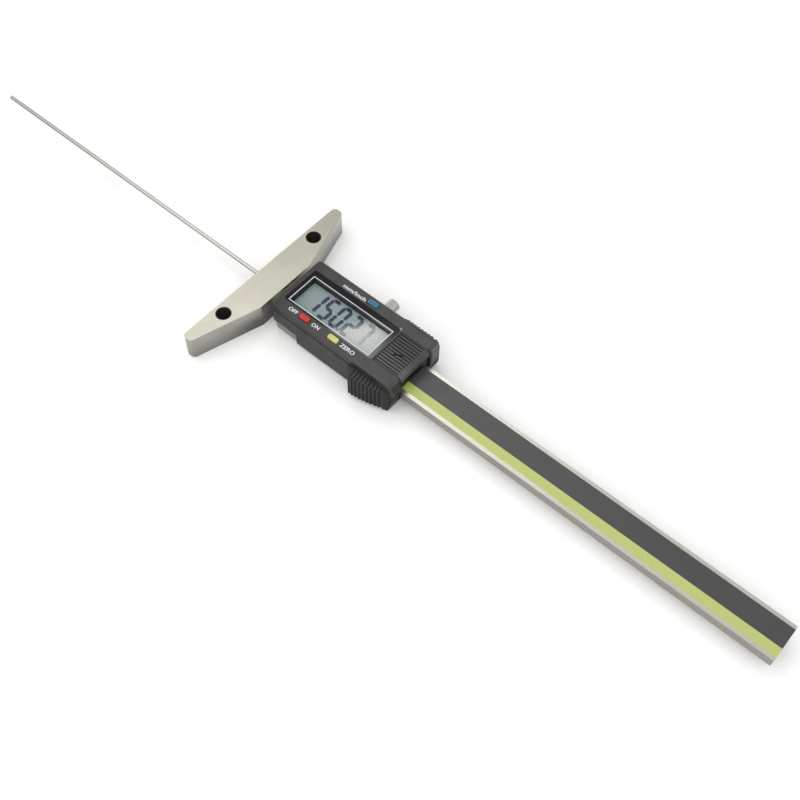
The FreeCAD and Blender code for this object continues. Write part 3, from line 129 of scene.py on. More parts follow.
# Lock screw, in metres
TIP_RADIUS = 1.2 * MM
SHANK_RADIUS = 1.5 * MM
COLLAR_RADIUS = 2.2 * MM
COLLAR_LONG = 0.7 * MM
HEAD_LONG = 8.4 * MM
DIMPLE_RADIUS = 1.3 * MM  # hollow in the head's end face
DIMPLE_DEEP = 0.35 * MM

# Studio: each soft light's place, size in metres and power in watts, what they face, floor and camera
SOFTBOXES = {
    "key_light": ((-0.215, 0.27, 0.76), 0.30, 0.50),
    "fill_light": ((0.10, -0.75, 0.95), 0.9, 1.5),
}
LIGHTS_FACE = Vector((0.08, 0, 0))
FLOOR_HALF = 15
FLOOR_THICK = 0.02
FLOOR_COLOUR = (0.93, 0.93, 0.93)
CAMERA_PLACE = (0.2536998, -0.2108076, 0.4039114)
CAMERA_TURN = (0.57238261, -0.01325158, 0.70710457)
CAMERA_LENS = 52.0206  # millimetres


# ----------------------------------------------------------
# Sizes and colours that a user would change

def length(label, about, default):
    """A length in metres that shows in the panel."""
    return bpy.props.FloatProperty(name=label, description=about, default=default,
                                   subtype="DISTANCE", unit="LENGTH", precision=5)


def count(label, about, default, least, most):
    """A whole number that shows in the panel."""
    return bpy.props.IntProperty(name=label, description=about, default=default, min=least, max=most)


def tint(label, about, default):
    """A colour that shows in the panel."""
    return bpy.props.FloatVectorProperty(name=label, description=about, default=default,
                                         subtype="COLOR", size=3, min=0, max=1)


class GaugeSizes(bpy.types.PropertyGroup):
    """Sizes of the display, the printing, the lock side ribs and the knurled screw."""

    reading: bpy.props.StringProperty(
        name="Reading", description="Digits on the display, with one point", default="150.27")
    digit_high: length("Digit height", "Between the middles of the top and bottom segments", 10.8 * MM)
    digit_wide: length("Digit width", "Between the middles of the side segments", 3.8 * MM)
    digit_pitch: length("Digit pitch", "From one digit to the next", 6.52 * MM)
    digit_first: length("First digit", "Middle of the first digit along the beam", 32.9 * MM)
    digit_middle: length("Digit middle", "Middle of the digits across the beam", 1.25 * MM)
    digit_thick: length("Segment width", "Width of a segment", 1.45 * MM)
    digit_lean: bpy.props.FloatProperty(
        name="Digit lean", description="Sideways shift for each unit of height", default=0.045)
    shadow_shift: length("Digit shadow", "How far the digits' shadow lies from them", 0.35 * MM)
    print_thick: length("Print thickness", "Thickness of the printed line and words", 0.03 * MM)
    line_wide: length("Line width", "White line round the display", 0.35 * MM)
    word_weight: bpy.props.FloatProperty(
        name="Word weight", description="How far the letters' outlines are spread, in letter heights",
        default=0.021, min=0, max=0.1)
    rib_count: count("Knurl ribs", "Ribs round the lock screw's head", 30, 6, 60)
    rib_radius: length("Rib radius", "Radius of one knurl rib", 0.24 * MM)
    fin_count: count("Lock side ribs", "Ribs above the lock side grip", 8, 1, 20)
    fin_first: length("First lock side rib", "Tip of the first rib along the beam", 70.2 * MM)
    fin_pitch: length("Lock side rib pitch", "From one rib to the next", 1.85 * MM)
    fin_out: length("Lock side rib height", "How far the ribs stand out from the cover", 1.55 * MM)


class GaugeColours(bpy.types.PropertyGroup):
    """Colours of the gauge's finishes."""

    steel: tint("Steel", "Beam", (0.585, 0.567, 0.507))
    base: tint("Base steel", "Blasted steel of the base", (0.515, 0.505, 0.468))
    bright: tint("Bright steel", "Drawn steel of the rod", (0.60, 0.59, 0.555))
    plastic: tint("Housing", "Moulded housing", (0.043, 0.0435, 0.042))
    bezel: tint("Bezel", "Dark border of the display", (0.004, 0.0045, 0.007))
    # painted reflection on the border near the battery door
    bezel_painted_reflection: tint("Bezel sheen", "Border near the battery door", (0.155, 0.158, 0.158))
    print_white: tint("White print", "Words and the line round the display", (0.66, 0.67, 0.69))
    film_dark: tint("Scale, dark band", "Wide band of the scale", (0.051, 0.0512, 0.0535))
    film_green: tint("Scale, green band", "Narrow band of the scale", (0.425, 0.485, 0.148))
    lcd_shaded: tint("Display, shaded end", "Display panel near the base", (0.265, 0.335, 0.348))
    # the display panel under the painted reflection at its far end
    lcd_painted_glare: tint("Display, pale end", "Display panel near the battery door", (0.61, 0.64, 0.625))
    ink: tint("Digits", "Segments that are on", (0.008, 0.012, 0.040))
    red: tint("Off and on button", "Button between the words OFF and ON", (0.43, 0.010, 0.008))
    yellow: tint("Zero button", "Button beside the word ZERO", (0.50, 0.50, 0.165))
    blue: tint("Unit button", "Button beside the words mm/inch", (0.024, 0.120, 0.225))


# ----------------------------------------------------------
# Node trees

def feed(tree, value, socket):
    """Links a value or an output to a socket, or sets a plain number, vector or colour on it."""
    value = value.socket if isinstance(value, Value) else value
    if isinstance(value, bpy.types.NodeSocket):
        tree.links.new(value, socket)
    else:
        socket.default_value = value


def add_node(tree, kind, inputs=None, **settings):
    """A node with its settings, and with each named or numbered input fed."""
    node = tree.nodes.new(kind)
    for key, value in settings.items():
        setattr(node, key, value)
    for key, value in (inputs or {}).items():
        feed(tree, value, node.inputs[key])
    return node


class Value:
    """A number that a node tree works out; plain arithmetic on it adds Math nodes."""

    def __init__(self, tree, socket):
        self.tree = tree
        self.socket = socket

    def apply(self, operation, other=0.0, flipped=False):
        """A Math node that works on this value, and on another if it needs one."""
        first, second = (other, self) if flipped else (self, other)
        node = add_node(self.tree, "ShaderNodeMath", {0: first, 1: second}, operation=operation)
        return Value(self.tree, node.outputs[0])

    __add__ = partialmethod(apply, "ADD")
    __sub__ = partialmethod(apply, "SUBTRACT")
    __rsub__ = partialmethod(apply, "SUBTRACT", flipped=True)
    __mul__ = partialmethod(apply, "MULTIPLY")
    __truediv__ = partialmethod(apply, "DIVIDE")
    __lt__ = partialmethod(apply, "LESS_THAN")
    __gt__ = partialmethod(apply, "GREATER_THAN")
    __abs__ = partialmethod(apply, "ABSOLUTE")

    def ramp(self, low, high, new_low, new_high, kind="LINEAR"):
        """This value from low to high brought evenly to new_low to new_high, and held there."""
        inputs = {0: self, 1: low, 2: high, 3: new_low, 4: new_high}
        node = add_node(self.tree, "ShaderNodeMapRange", inputs, interpolation_type=kind)
        return Value(self.tree, node.outputs[0])

    def span(self, low, high, new_low=0.0, new_high=1.0):
        """The same with soft ends."""
        return self.ramp(low, high, new_low, new_high, "SMOOTHSTEP")

    def between(self, first, second):
        """The first value where this one is 0, the second where it is 1."""
        return self.ramp(0.0, 1.0, first, second)


def split_vector(tree, vector):
    """The x, y and z values of a vector output."""
    node = add_node(tree, "ShaderNodeSeparateXYZ", {0: vector})
    return [Value(tree, output) for output in node.outputs]


class Finish:
    """A surface finish being made: one material, its nodes, and the surface shader that they end in."""

    def __init__(self, name, colour, metallic=0.0, roughness=0.5):
        self.material = bpy.data.materials.new(name)
        self.material.use_nodes = True
        self.tree = self.material.node_tree
        self.shader = self.tree.nodes["Principled BSDF"]
        self.place = self.add("ShaderNodeTexCoord").outputs["Object"]
        self.base = tuple(colour)
        self.material.diffuse_color = self.base + (1,)
        self.set("Metallic", metallic)
        self.set("Roughness", roughness)

    def add(self, kind, inputs=None, **settings):
        """Adds a node to the material."""
        return add_node(self.tree, kind, inputs, **settings)

    def set(self, name, value):
        """Sets, or feeds, an input of the surface shader."""
        feed(self.tree, value, self.shader.inputs[name])

    def paint(self, colour):
        """Feeds the surface's colour."""
        self.set("Base Color", colour)

    def colour(self):
        """The output that now feeds the surface's colour."""
        return self.shader.inputs["Base Color"].links[0].from_socket

    def axes(self):
        """The x, y and z of the place on the object, in metres."""
        return split_vector(self.tree, self.place)

    def facing(self):
        """The x, y and z of the surface's direction, in the piece's own frame."""
        return split_vector(self.tree, self.place.node.outputs["Normal"])

    def flatness(self):
        """0 on upright faces and 1 on level ones."""
        return abs(self.facing()[2]).span(0.25, 0.8)

    def run(self):
        """Distance along a slanting line over the display, which the painted reflection follows."""
        x, y, _ = self.axes()
        return x - y * 0.8

    def glare(self):
        """0 over the display's shaded end and 1 under the painted reflection at its far end."""
        return self.run().span(*GLARE)

    def noise(self, scale, detail=2.0, stretch=(1, 1, 1)):
        """Soft noise from 0 to 1, its scale in features for each metre."""
        place = self.add("ShaderNodeMapping", {"Vector": self.place, "Scale": stretch}).outputs[0]
        inputs = {"Vector": place, "Scale": scale, "Detail": detail}
        return Value(self.tree, self.add("ShaderNodeTexNoise", inputs).outputs[0])

    def cells(self, scale):
        """Distance to the nearest cell centre of a grain."""
        node = self.add("ShaderNodeTexVoronoi", {"Vector": self.place, "Scale": scale})
        return Value(self.tree, node.outputs["Distance"])

    def pattern(self, kind, inputs, **settings):
        """A regular pattern: Brick or Wave."""
        node = self.add("ShaderNodeTex" + kind, {"Vector": self.place, **inputs}, **settings)
        return node.outputs["Fac"]

    def mix(self, share, first, second, blend="MIX"):
        """Two colours mixed; each is a colour or an output."""
        node = self.add("ShaderNodeMix", {0: share}, data_type="RGBA", blend_type=blend)
        for number, colour in ((6, first), (7, second)):
            plain_colour = not isinstance(colour, (Value, bpy.types.NodeSocket))
            feed(self.tree, (*tuple(colour)[:3], 1) if plain_colour else colour, node.inputs[number])
        return node.outputs[2]

    def dull(self, colour, factor):
        """A colour output times a factor, which is a number, a value or another colour."""
        return self.mix(1.0, colour, (factor,) * 3 if isinstance(factor, float) else factor, "MULTIPLY")

    def dim(self, factor):
        """Multiplies the surface's colour."""
        self.paint(self.dull(self.colour(), factor))

    def cover(self, share, colour):
        """Lays a share of another colour over the surface's colour."""
        self.paint(self.mix(share, self.colour(), colour))

    def shade(self, factor, colour=None):
        """The base colour, or another, made lighter or darker."""
        return tuple(channel * factor for channel in tuple(colour or self.base)[:3])

    def patchy(self, strength, scale, colour=None):
        """The base colour, or another, with faint large patches."""
        patches = self.noise(scale, 3).span(0.35, 0.65)
        return self.mix(patches, self.shade(1 - strength, colour), self.shade(1 + strength, colour))

    def rough(self, scale, detail, least, most, low=0.3, high=0.7, stretch=(1, 1, 1)):
        """Uneven roughness."""
        self.set("Roughness", self.noise(scale, detail, stretch).span(low, high, least, most))

    def relief(self, height, depth):
        """Fine relief of the surface, its depth in metres."""
        bump = self.add("ShaderNodeBump", {"Height": height, "Strength": 1.0, "Distance": depth})
        self.set("Normal", bump.outputs[0])


def ground_metal(name, colour, along=None, roughness=0.32, depth=0.002 * MM, streak=0.10, edge=0.5):
    """Metal ground along one axis, or blasted evenly when there is none, with painted shade darkening
    its upright faces.
    """
    finish = Finish(name, colour, 1.0, roughness)
    stretch = [1, 1, 1] if along is None else [0.03 if axis == along else 1 for axis in "xyz"]
    lines = finish.noise(5200, 4, stretch)
    tone = finish.mix(lines.span(0.3, 0.7), finish.shade(1 - streak), finish.shade(1 + streak))
    finish.paint(finish.mix(0.5, finish.patchy(0.04, 55), tone))
    # painted shade: upright faces darker, keeping the share edge of their colour
    finish.dim(finish.flatness().between(edge, 1.0))
    finish.rough(900, 3, roughness * 0.85, roughness * 1.2, stretch=stretch)
    finish.relief(lines, depth)
    return finish


def moulded_plastic(name, colour, grain=5200, depth=0.012 * MM, roughness=0.52, side=0.55):
    """Moulded plastic with a fine spark grain and paler dust, and painted shade darkening its upright
    faces.
    """
    finish = Finish(name, colour, 0.0, roughness)
    dust = finish.noise(2400, 5).span(0.60, 0.78, 0, 0.22)
    finish.paint(finish.mix(dust, finish.patchy(0.10, 90), finish.shade(2.1)))
    # painted shade: upright faces darker, keeping the share side of their colour
    finish.dim(finish.flatness().between(side, 1.0))
    finish.set("Specular IOR Level", 0.36)
    finish.rough(160, 4, roughness * 0.88, roughness * 1.14)
    finish.relief(finish.cells(grain) + finish.noise(grain * 0.6, 3), depth)
    return finish


def smooth_plastic(name, colour, roughness=0.34):
    """Smooth plastic with a slight ripple and handling marks."""
    finish = Finish(name, colour, 0.0, roughness)
    finish.paint(finish.patchy(0.06, 420))
    finish.rough(1300, 4, roughness * 0.8, roughness * 1.35, 0.35)
    finish.relief(finish.noise(2100, 3), 0.006 * MM)
    return finish


# ----------------------------------------------------------
# Finishes of this gauge

def base_steel(colour):
    """Blasted steel of the base: cloudy, with painted light and shade (level faces darker towards one
    end, upright faces darker towards the bottom and near the slider) and painted shade in its two
    holes.
    """
    finish = ground_metal("base_steel", colour, None, 0.36, 0.0015 * MM, 0.05, 0.72)
    x, y, z = finish.axes()
    finish.cover(finish.noise(75, 4).span(0.42, 0.68), finish.dull(finish.colour(), 0.92))
    # painted light and shade: level faces lighter at the low end and darker at the other; upright faces
    # lighter at the top, darker at the bottom and darker still near the slider
    level = y.span(-0.055, 0.06, 1.13, 0.80)
    upright = y.span(-0.045, 0.02, 0.92, 1.10) * z.span(0.005, -0.007, 1.12, 0.78)
    slider_shade = y.span(-0.036, -0.017) * y.span(0.0, -0.012) * z.span(0.0045, -0.003)
    finish.dim(finish.flatness().between(upright * (1.0 - slider_shade * 0.55), level))
    finish.dim(finish.mix(finish.flatness(), (1.0, 1.0, 1.0), (1.0, 0.985, 0.905)))
    # painted shade: the insides of the two holes nearly black and less metallic
    holes = next(mount for mount in frame["record"]["mounts"] if mount["name"] == "extension_holes")
    radius = holes["dims"]["hole_r_mm"] * MM
    across = abs(y) - holes["dims"]["spacing_y_mm"] / 2 * MM
    along = x - holes["pos_m"][0]
    reach = (across * across + along * along).apply("SQRT")
    inside = reach.span(radius + 0.30 * MM, radius + 0.22 * MM)
    hole_shade_colour = finish.mix(finish.noise(1500, 3), (0.010, 0.010, 0.010), (0.060, 0.060, 0.056))
    finish.cover(inside, hole_shade_colour)
    finish.set("Metallic", 1.0 - inside * 0.85)
    return finish


def rod_steel(colour):
    """Drawn steel of the rod: painted shade darkens its underside, and it is darker towards its tip."""
    finish = ground_metal("rod_steel", colour, "x", 0.24, 0.001 * MM, 0.06, 1.0)
    # painted shade: the underside darker than the top
    under = finish.facing()[2].span(0.25, 0.80, 0.30, 1.0)
    tip = finish.axes()[0].span(-0.19, -0.03, 0.68, 1.0)
    finish.dim(under * tip)
    return finish


def scale_print(colours):
    """Printed scale: a green band on the low side and a wide dark band, under a satin film."""
    finish = Finish("scale_print", colours.film_dark, 0.0, 0.38)
    x, y, _ = finish.axes()
    weave = finish.noise(2600, 4).span(0.3, 0.7)
    dark = finish.mix(weave, finish.shade(0.93), finish.shade(1.08))
    dark = finish.dull(dark, x.span(0.09, 0.26, 1.06, 0.86))
    lime = colours.film_green
    green = finish.mix(weave, finish.shade(0.94, lime), finish.shade(1.05, lime))
    marks = (x * (2 * math.pi / SCALE_PITCH)).apply("SINE").span(-0.4, 0.9, 0.0, 0.30)
    green = finish.mix(marks, green, (0.47, 0.42, 0.17))
    # painted shade: the green darker olive just behind the slider
    green = finish.mix(x.span(0.087, 0.100, 0.45, 0.0), green, (0.30, 0.48, 0.04))
    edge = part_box("scale_film")[0].y + GREEN_WIDE
    finish.paint(finish.mix(y.span(edge - 0.05 * MM, edge + 0.05 * MM), green, dark))
    finish.rough(300, 3, 0.34, 0.46)
    finish.relief(finish.noise(3000, 3), 0.004 * MM)
    return finish


def bezel_plastic(colours):
    """Smooth dark border of the display, with a painted grey reflection towards the battery door and
    painted light on its inner walls.
    """
    finish = smooth_plastic("bezel_plastic", colours.bezel, 0.42)
    flat = finish.flatness()
    # painted reflection: level faces grey towards the battery door
    sheen = finish.run().span(0.0500, 0.0590) * finish.axes()[1].span(-0.0085, 0.0105, 1.0, 0.08) * flat
    # painted light: upright inner walls grey, paler again under the painted reflection
    wall = finish.mix(finish.glare(), (0.060, 0.066, 0.068), (0.20, 0.21, 0.21))
    finish.paint(finish.mix(flat, wall, finish.colour()))
    finish.cover(sheen, colours.bezel_painted_reflection)
    finish.set("Specular IOR Level", 0.16)
    return finish


def door_plastic(colour):
    """Battery door: painted light makes it paler, most on its low side, and painted shade darkens the
    grooves between its ridges and the arrow.
    """
    finish = moulded_plastic("door_plastic", colour, side=0.95)
    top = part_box("battery_door")[1].z
    x, y, z = finish.axes()
    # painted shade in the grooves and the arrow, below the ridge tops
    groove_shade = z.span(top - 0.20 * MM, top - 0.45 * MM) * x.span(0.0862, 0.0855)
    # painted light: the door paler, most on its low side
    finish.dim(y.span(-0.009, 0.006, 1.9, 1.15))
    finish.cover(groove_shade, (0.003, 0.003, 0.003))
    return finish


def grip_plastic(colour):
    """Grip housing: painted light and shade on its ribs, paler on faces turned towards the base and
    darker on those turned towards the rear, and painted shade lines across the low ledge.
    """
    finish = moulded_plastic("grip_plastic", colour, side=0.62)
    rear, _, up = finish.facing()
    # painted light and shade: upright faces turned towards the base lighter, those turned towards the
    # rear darker
    rib_light_and_shade = rear.span(-0.6, 0.6, 2.2, 0.10)
    finish.dim(finish.flatness().between(rib_light_and_shade, 0.9))
    low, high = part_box("grip_housing")
    x, y, _ = finish.axes()
    # painted shade: dark lines between the ribs across the low ledge
    turn = ((x - (high.x - FAN_CROWN)) / (low.y + FAN_RADIUS - y)).apply("ARCTANGENT")
    step = (turn - FAN_FIRST) / FAN_PITCH
    line = abs(step - step.apply("ROUND")).span(0.22, 0.10)
    ledge = (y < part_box("top_cover")[0].y - 0.2 * MM) * (up > 0.5)
    fan = (step > -0.5) * (step < FAN_COUNT - 0.5)
    finish.cover(line * ledge * fan, (0.001, 0.001, 0.001))
    finish.set("Specular IOR Level", 0.24)
    return finish


def cover_plastic(colour):
    """Top cover: painted light, paler towards the battery door and on its rear faces; painted shade,
    dark under the door round the beam and along the joint beside the lock side grip; and a painted
    glint near the door.
    """
    finish = moulded_plastic("cover_plastic", colour, side=0.42)
    x, y, _ = finish.axes()
    # painted light: darker at the front end and paler towards the battery door
    painted_light_gradient = x.span(0.0195, 0.030, 0.70, 0.95) * x.span(0.035, 0.060, 1.0, 1.22)
    back = finish.facing()[0].span(0.5, 0.9)
    # painted light: rear faces on the high side much lighter
    finish.dim((back * y.span(0.002, 0.006)).between(painted_light_gradient, 5.0))
    # painted shade along the joint beside the lock side grip
    seam_shade = abs(y - SEAM_Y).span(0.26 * MM, 0.06 * MM, 0.0, 0.85)
    seam_shade = seam_shade * x.span(0.0695, 0.0735) * x.span(0.0870, 0.0858)
    # painted shade on the rear faces round the beam's mouth
    mouth_shade = back * abs(y - 1.5 * MM).span(0.0108, 0.0098)
    finish.cover(seam_shade.apply("MAXIMUM", mouth_shade), (0.002, 0.002, 0.002))
    # painted glint near the battery door
    spot_x, spot_y, radius = GLINT_SPOT
    along, across = (x - spot_x) / radius, (y - spot_y) / radius
    painted_glint = (along * along + across * across).span(1.0, 0.0, 0.0, 0.75)
    finish.cover(painted_glint, (0.34, 0.34, 0.325))
    return finish


def display_panel(colours):
    """Liquid crystal panel: a grey green reflector, made paler towards its far end by a painted
    reflection.
    """
    finish = Finish("display_panel", colours.lcd_shaded, 0.0, 0.45)
    speckle = finish.noise(6500, 2).span(0.3, 0.7, 0.0, 0.05)
    finish.paint(finish.mix(finish.glare(), colours.lcd_shaded, colours.lcd_painted_glare))
    finish.cover(speckle, (0.80, 0.84, 0.82))
    finish.relief(finish.noise(5200, 2), 0.003 * MM)
    return finish


def digit_ink(colours):
    """Segments that are on: dark blue, washed out by the painted reflection towards the display's far
    end.
    """
    finish = Finish("digit_ink", colours.ink, 0.0, 0.4)
    painted_glare = finish.run().span(0.0485, 0.0555, 0.0, 0.55) + finish.run().span(0.0555, 0.0660, 0.0, 0.33)
    finish.paint(finish.mix(finish.noise(2500, 3), finish.shade(0.8), finish.shade(1.4)))
    finish.cover(painted_glare, colours.lcd_painted_glare)
    return finish


def digit_shade(colours):
    """Painted faint shadow of the segments on the reflector, washed out by the painted reflection
    towards the display's far end.
    """
    finish = Finish("digit_shade", (0.16, 0.20, 0.26), 0.0, 0.5)
    painted_glare = finish.run().span(0.0485, 0.0600, 0.0, 0.85)
    finish.paint(finish.mix(painted_glare, (0.15, 0.19, 0.25), colours.lcd_painted_glare))
    finish.set("Alpha", 0.45)
    return finish


def gasket_rubber():
    """Grey gasket between the display panel and its window, made paler towards the battery door by a
    painted reflection.
    """
    finish = smooth_plastic("gasket_rubber", (0.36, 0.385, 0.385), 0.6)
    # painted reflection: paler towards the battery door
    finish.cover(finish.glare(), (0.62, 0.64, 0.64))
    return finish


def clear_plastic():
    """Clear window: nearly all light passes, with faint wiping marks."""
    finish = Finish("clear_plastic", (0.03, 0.034, 0.034), 0.0, 0.08)
    finish.paint(finish.patchy(0.04, 300))
    finish.rough(700, 5, 0.05, 0.16, 0.45, 0.75)
    finish.set("Alpha", 0.06)
    finish.set("IOR", 1.49)
    return finish


def white_print(colours):
    """White screen print with a slightly uneven edge and thin spots."""
    finish = Finish("white_print", colours.print_white, 0.0, 0.55)
    thin = finish.noise(5200, 4).span(0.55, 0.75, 0.0, 0.35)
    finish.paint(finish.mix(thin, colours.print_white, (0.40, 0.40, 0.42)))
    finish.relief(finish.noise(4200, 3), 0.005 * MM)
    return finish


def board_laminate():
    """Green solder mask over straight copper tracks."""
    finish = Finish("board_laminate", (0.02, 0.12, 0.045), 0.0, 0.3)
    tracks = finish.pattern("Brick", {"Scale": 420.0, "Mortar Size": 0.03}, offset=0.37)
    finish.paint(finish.mix(tracks, finish.patchy(0.12, 250), (0.05, 0.24, 0.09)))
    finish.relief(tracks, 0.02 * MM)
    return finish


def weave_laminate():
    """Glass weave laminate of the scale's grating board."""
    finish = Finish("weave_laminate", (0.10, 0.13, 0.05), 0.0, 0.45)
    weave = finish.pattern("Brick", {"Scale": 900.0, "Mortar Size": 0.06})
    finish.paint(finish.mix(weave, finish.patchy(0.1, 200), (0.20, 0.22, 0.10)))
    finish.relief(weave, 0.01 * MM)
    return finish


def striped_rubber():
    """Connector strip: thin conducting layers in soft rubber."""
    finish = Finish("striped_rubber", (0.20, 0.18, 0.17), 0.0, 0.7)
    layers = finish.pattern("Wave", {"Scale": 700.0, "Distortion": 0.4}, bands_direction="X")
    finish.paint(finish.mix(layers, (0.03, 0.03, 0.03), (0.30, 0.27, 0.25)))
    finish.relief(layers, 0.01 * MM)
    return finish


def make_finishes(colours):
    """Every finish, by material slot, or by node where a node has its own."""
    return {
        "ground_steel": base_steel(colours.base),
        "satin_steel": ground_metal("beam_steel", colours.steel, "x", 0.30),
        "bright_steel": rod_steel(colours.bright),
        "screw_steel": ground_metal("screw_steel", (0.52, 0.515, 0.50), None, 0.34),
        "black_screw": ground_metal("black_screw", (0.035, 0.035, 0.036), None, 0.45),
        "frame_metal": ground_metal("frame_metal", (0.56, 0.545, 0.50), "x", 0.40),
        "knurled_steel": ground_metal("knurled_steel", (0.53, 0.515, 0.475), "y", 0.28,
                                      streak=0.08, edge=0.75),
        "brass": ground_metal("gib_brass", (0.60, 0.42, 0.16), "x", 0.34),
        "cell_steel": ground_metal("cell_steel", (0.66, 0.66, 0.65), None, 0.25),
        "contact_metal": ground_metal("contact_metal", (0.68, 0.58, 0.36), "y", 0.28),
        "scale_laminate": weave_laminate(),
        "printed_film": scale_print(colours),
        "black_plastic": moulded_plastic("black_plastic", colours.plastic),
        "battery_door": door_plastic(colours.plastic),
        "grip_housing": grip_plastic(colours.plastic),
        "top_cover": cover_plastic(colours.plastic),
        "gasket": gasket_rubber(),
        "bezel_plastic": bezel_plastic(colours),
        "clear_window": clear_plastic(),
        "lcd_glass": display_panel(colours),
        "zebra_rubber": striped_rubber(),
        "circuit_laminate": board_laminate(),
        "chip_resin": moulded_plastic("chip_resin", (0.018, 0.018, 0.019), 7000, 0.006 * MM, 0.45),
        "switch_plastic": smooth_plastic("switch_plastic", (0.05, 0.05, 0.052), 0.5),
        "button_red": smooth_plastic("button_red", colours.red),
        "button_yellow": smooth_plastic("button_yellow", colours.yellow),
        "button_blue": smooth_plastic("button_blue", colours.blue),
    }


def coat(*slots):
    """Gives the finish of each of these material slots to its CAD nodes."""
    for part in frame["record"]["subparts"]:
        slot = part["material_slot"]
        if slot in slots:
            give_finish(NODES[part["node"]], FINISHES[slot])


def give_finish(piece, finish):
    """Puts one finish on the whole of a piece."""
    if not piece.material_slots:
        piece.data.materials.append(None)
    for slot in piece.material_slots:
        slot.material = finish.material


# Finishes by material slot, made by the first operator
FINISHES = {}


# ----------------------------------------------------------
# Meshes

def new_object(name, data):
    """An object in the scene."""
    item = bpy.data.objects.new(name, data)
    bpy.context.scene.collection.objects.link(item)
    return item


def new_piece(name, mesh, finish, body):
    """A finished piece that moves with a body, with the finish it is given."""
    piece = new_object(name, mesh)
    give_finish(piece, finish)
    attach(piece, body)
    return piece


def solid_mesh(name, build):
    """A closed mesh made by build(bmesh), with its faces pointing outwards."""
    mesh = bpy.data.meshes.new(name)
    work = bmesh.new()
    build(work)
    bmesh.ops.remove_doubles(work, verts=work.verts, dist=0.0005 * MM)
    bmesh.ops.recalc_face_normals(work, faces=work.faces)
    work.to_mesh(mesh)
    work.free()
    return mesh


def plain_mesh(name, holder):
    """What an object comes to with its modifiers or as text, as a plain mesh; the object is removed."""
    graph = bpy.context.evaluated_depsgraph_get()
    mesh = bpy.data.meshes.new_from_object(holder.evaluated_get(graph))
    bpy.data.objects.remove(holder)
    mesh.name = name
    return mesh


def join_loops(work, first, second):
    """Side faces between two closed loops of as many points."""
    for here in range(len(first)):
        there = (here + 1) % len(first)
        work.faces.new((first[here], first[there], second[there], second[here]))


def widened(limits, margin):
    """Limits (low x, low y, high x, high y) moved outwards."""
    return limits[0] - margin, limits[1] - margin, limits[2] + margin, limits[3] + margin


def ring_frame(work, outer, inner, low, high):
    """A flat rectangular frame; outer and inner are (low x, low y, high x, high y)."""
    def loop(limits, z):
        left, below, right, above = limits
        corners = ((left, below), (right, below), (right, above), (left, above))
        return [work.verts.new((x, y, z)) for x, y in corners]
    loops = [loop(outer, low), loop(outer, high), loop(inner, high), loop(inner, low)]
    for here in range(4):
        join_loops(work, loops[here], loops[(here + 1) % 4])


def plate(work, low, high, edge):
    """A rectangular plate with bevelled edges."""
    bmesh.ops.create_cube(work, size=1.0)
    size = high - low
    middle = (high + low) / 2
    for vert in work.verts:
        vert.co = vert.co * size + middle
    bmesh.ops.bevel(work, geom=list(work.edges), offset=edge, segments=2, profile=0.5, affect="EDGES")


def turned(work, profile, middle, steps=48):
    """A turned shape about an axis along y; the profile is (y, radius) from one end to the other."""
    angles = [2 * math.pi * step / steps for step in range(steps)]
    rings = []
    for y, radius in profile:
        points = [(middle.x + radius * math.cos(a), y, middle.z + radius * math.sin(a)) for a in angles]
        rings.append([work.verts.new(point) for point in points])
    for first, second in zip(rings, rings[1:]):
        join_loops(work, first, second)
    work.faces.new(rings[0])
    work.faces.new(rings[-1])


def word_mesh(name, words, limits, low, thick, weight):
    """Raised letters that fill limits (low x, low y, high x, high y), as a mesh in its place."""
    curve = bpy.data.curves.new(name, "FONT")
    curve.body = words
    curve.resolution_u = 3
    curve.extrude = 0.5
    curve.offset = weight
    mesh = plain_mesh(name, new_object(name + "_curve", curve))
    bpy.data.curves.remove(curve)
    xs, ys = ([vert.co[axis] for vert in mesh.vertices] for axis in (0, 1))
    left, below = min(xs), min(ys)
    wide = (limits[2] - limits[0]) / (max(xs) - left)
    tall = (limits[3] - limits[1]) / (max(ys) - below)
    for vert in mesh.vertices:
        x, y, z = vert.co
        vert.co = (limits[0] + (x - left) * wide, limits[1] + (y - below) * tall,
                   low + (z + 0.5) * thick)
    return mesh


# ----------------------------------------------------------
# Geometry Nodes

def new_tree(name, inputs):
    """A Geometry Nodes tree with inputs of these names and kinds: it, its inputs and its end."""
    tree = bpy.data.node_groups.new(name, "GeometryNodeTree")
    tree.interface.new_socket("Geometry", in_out="INPUT", socket_type="NodeSocketGeometry")
    for label, kind in inputs.items():
        tree.interface.new_socket(label, in_out="INPUT", socket_type="NodeSocket" + kind)
    tree.interface.new_socket("Geometry", in_out="OUTPUT", socket_type="NodeSocketGeometry")
    source = tree.nodes.new("NodeGroupInput")
    end = tree.nodes.new("NodeGroupOutput")
    return tree, source.outputs, end.inputs["Geometry"]


def end_tree(tree, geometry, finish, end):
    """Ends a tree in real geometry with its finish."""
    real = add_node(tree, "GeometryNodeRealizeInstances", {"Geometry": geometry})
    shaded = add_node(tree, "GeometryNodeSetMaterial",
                      {"Geometry": real.outputs[0], "Material": finish})
    tree.links.new(shaded.outputs[0], end)


def grow(name, seed, tree, values):
    """Runs a tree on a seed mesh and returns the plain mesh that it makes."""
    holder = new_object(name, seed)
    modifier = holder.modifiers.new(tree.name, "NODES")
    modifier.node_group = tree
    for item in tree.interface.items_tree:
        if item.item_type == "SOCKET" and item.in_out == "INPUT" and item.name in values:
            modifier[item.identifier] = values[item.name]
    return plain_mesh(name, holder)


